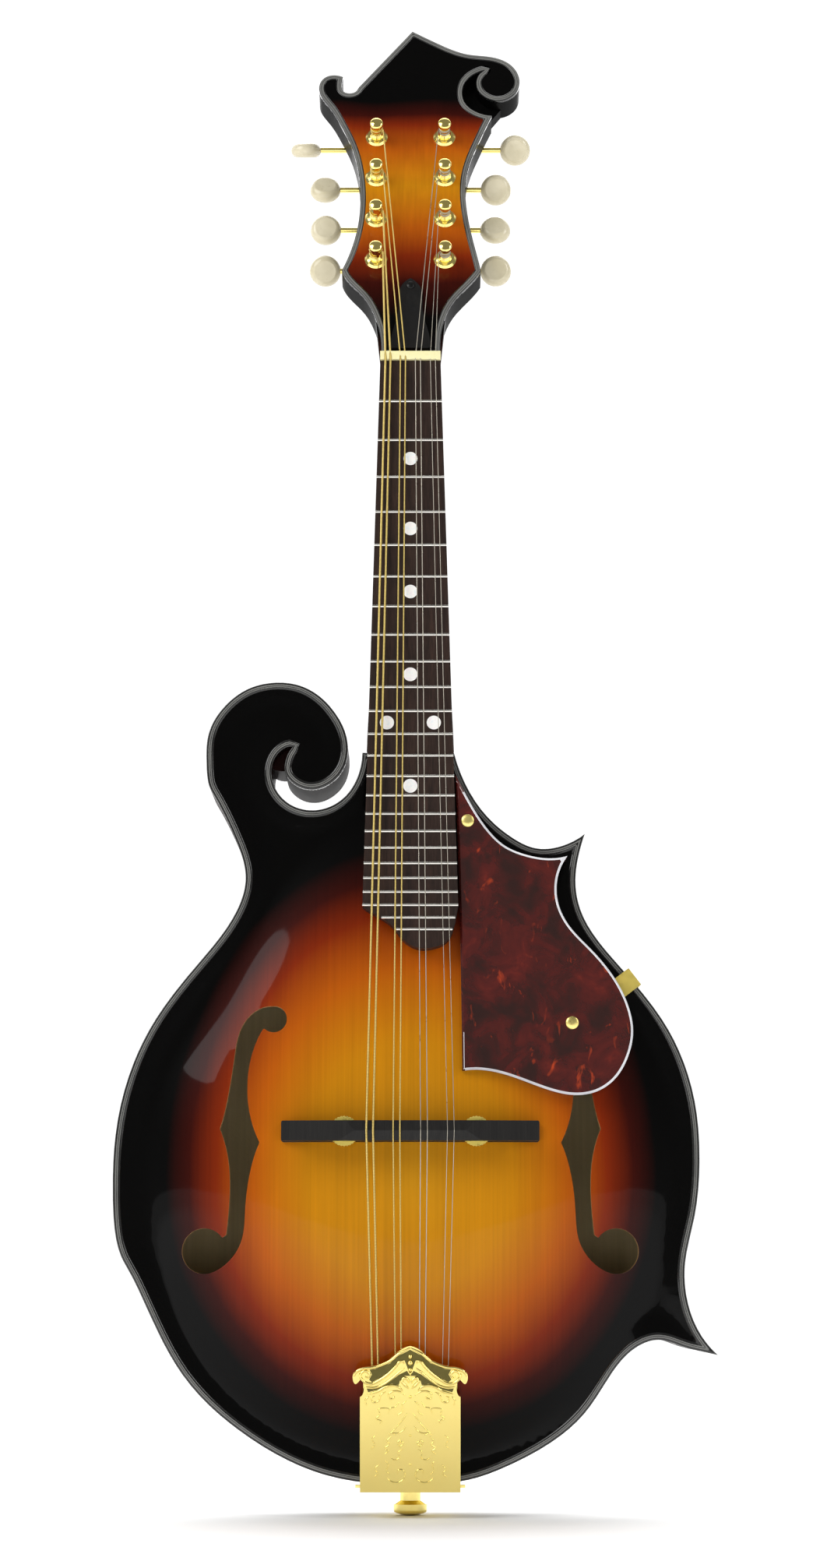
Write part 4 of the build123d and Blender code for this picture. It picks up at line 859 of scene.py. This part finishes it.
def make_windings():
    """Turns of string around each post's waist, above and below the string that comes to it."""
    for number, course in COURSE_OF_TUNER.items():
        joint = JOINTS[f"tuner_{number}_post_turn"]
        centre, axis = Vector(joint["pos_m"]), Vector(joint["axis"])
        across = Vector((1, 0, 0))
        other = axis.cross(across)
        radius = STRING_RADII[course]
        ring = WAIST_R + radius * 0.95
        bm = bmesh.new()
        gap = STRING_HEIGHT - 2.2 * radius, STRING_HEIGHT + 2.2 * radius
        for low, high in ((COILS_FROM, gap[0]), (gap[1], COILS_TO)):
            turns = (high - low) / (2 * radius)
            steps = max(8, int(turns * 20))
            centres = []
            for i in range(steps + 1):
                angle = 2 * pi * turns * i / steps
                lift = low + (high - low) * i / steps
                centres.append(centre + axis * lift + (across * cos(angle) + other * sin(angle)) * ring)
            tube(bm, centres, [radius] * len(centres), 6)
        look = "wound" if course in "gd" else "steel"
        link_mesh(f"tuner_{number}_winding", bm, [look], f"tuner_{number}_string_post")


# ---- stage ---------------------------------------------------------------------------------
LIGHT_AIM = (0, 0, -0.3)
FLOOR_REACH = 6.0        # metres each way


def area_light(name, place, aim, size, tall, power):
    """A rectangular lamp that faces a point."""
    data = bpy.data.lights.new(name, "AREA")
    data.energy = power
    data.shape = "RECTANGLE"
    data.size = size
    data.size_y = tall
    light = bpy.data.objects.new(name, data)
    light.location = place
    light.rotation_euler = (Vector(aim) - Vector(place)).to_track_quat("-Z", "Y").to_euler()
    SCENE.collection.objects.link(light)


def studio_world():
    """A white backdrop behind the part, and a dim studio in front of it."""
    world = bpy.data.worlds.new("studio")
    world.use_nodes = True
    tree = world.node_tree
    place = tree.nodes.new("ShaderNodeTexCoord")
    split = tree.nodes.new("ShaderNodeSeparateXYZ")
    ramp = tree.nodes.new("ShaderNodeValToRGB")
    ramp.color_ramp.elements[0].position = 0.0
    ramp.color_ramp.elements[0].color = (0.21, 0.21, 0.20, 1)
    ramp.color_ramp.elements[1].position = 0.25
    ramp.color_ramp.elements[1].color = (1, 1, 1, 1)
    tree.links.new(place.outputs["Generated"], split.inputs[0])
    tree.links.new(split.outputs[1], ramp.inputs[0])
    tree.links.new(ramp.outputs[0], tree.nodes["Background"].inputs[0])
    tree.nodes["Background"].inputs[1].default_value = 1.1
    SCENE.world = world


def soft_sun():
    """Light from behind and above that whitens the floor."""
    data = bpy.data.lights.new("backlight", "SUN")
    data.energy = 2.6
    data.angle = radians(80)
    sun = bpy.data.objects.new("backlight", data)
    sun.rotation_euler = (radians(-40), 0, 0)
    SCENE.collection.objects.link(sun)


def make_stage():
    """The floor, the world and the lights."""
    floor_z = CAD_BOX[0].z
    mesh = bpy.data.meshes.new("floor")
    corners = [(-1, -1), (1, -1), (1, 1), (-1, 1)]
    mesh.from_pydata([(x * FLOOR_REACH, y * FLOOR_REACH, floor_z) for x, y in corners], [], [(0, 1, 2, 3)])
    floor = bpy.data.objects.new("floor", mesh)
    m = Material("pale_floor", Roughness=0.9, Specular_IOR_Level=0.0)
    m.colour(m.mix(m.level(m.noise(3.0), 0.0, 1.0), (0.93, 0.93, 0.93), (0.95, 0.95, 0.95)))
    mesh.materials.append(m.material)
    SCENE.collection.objects.link(floor)
    studio_world()
    SCENE.view_settings.view_transform = "Standard"
    area_light("key", (-1.5, -1.35, 0.95), LIGHT_AIM, 1.4, 1.4, 32)
    area_light("fill", (1.9, -1.3, 0.9), LIGHT_AIM, 0.5, 1.3, 16)
    soft_sun()


make_camera()
make_stage()
dress_nodes()
make_body()
make_head_binding()
make_pickguard()
make_tailpiece_relief()
make_windings()
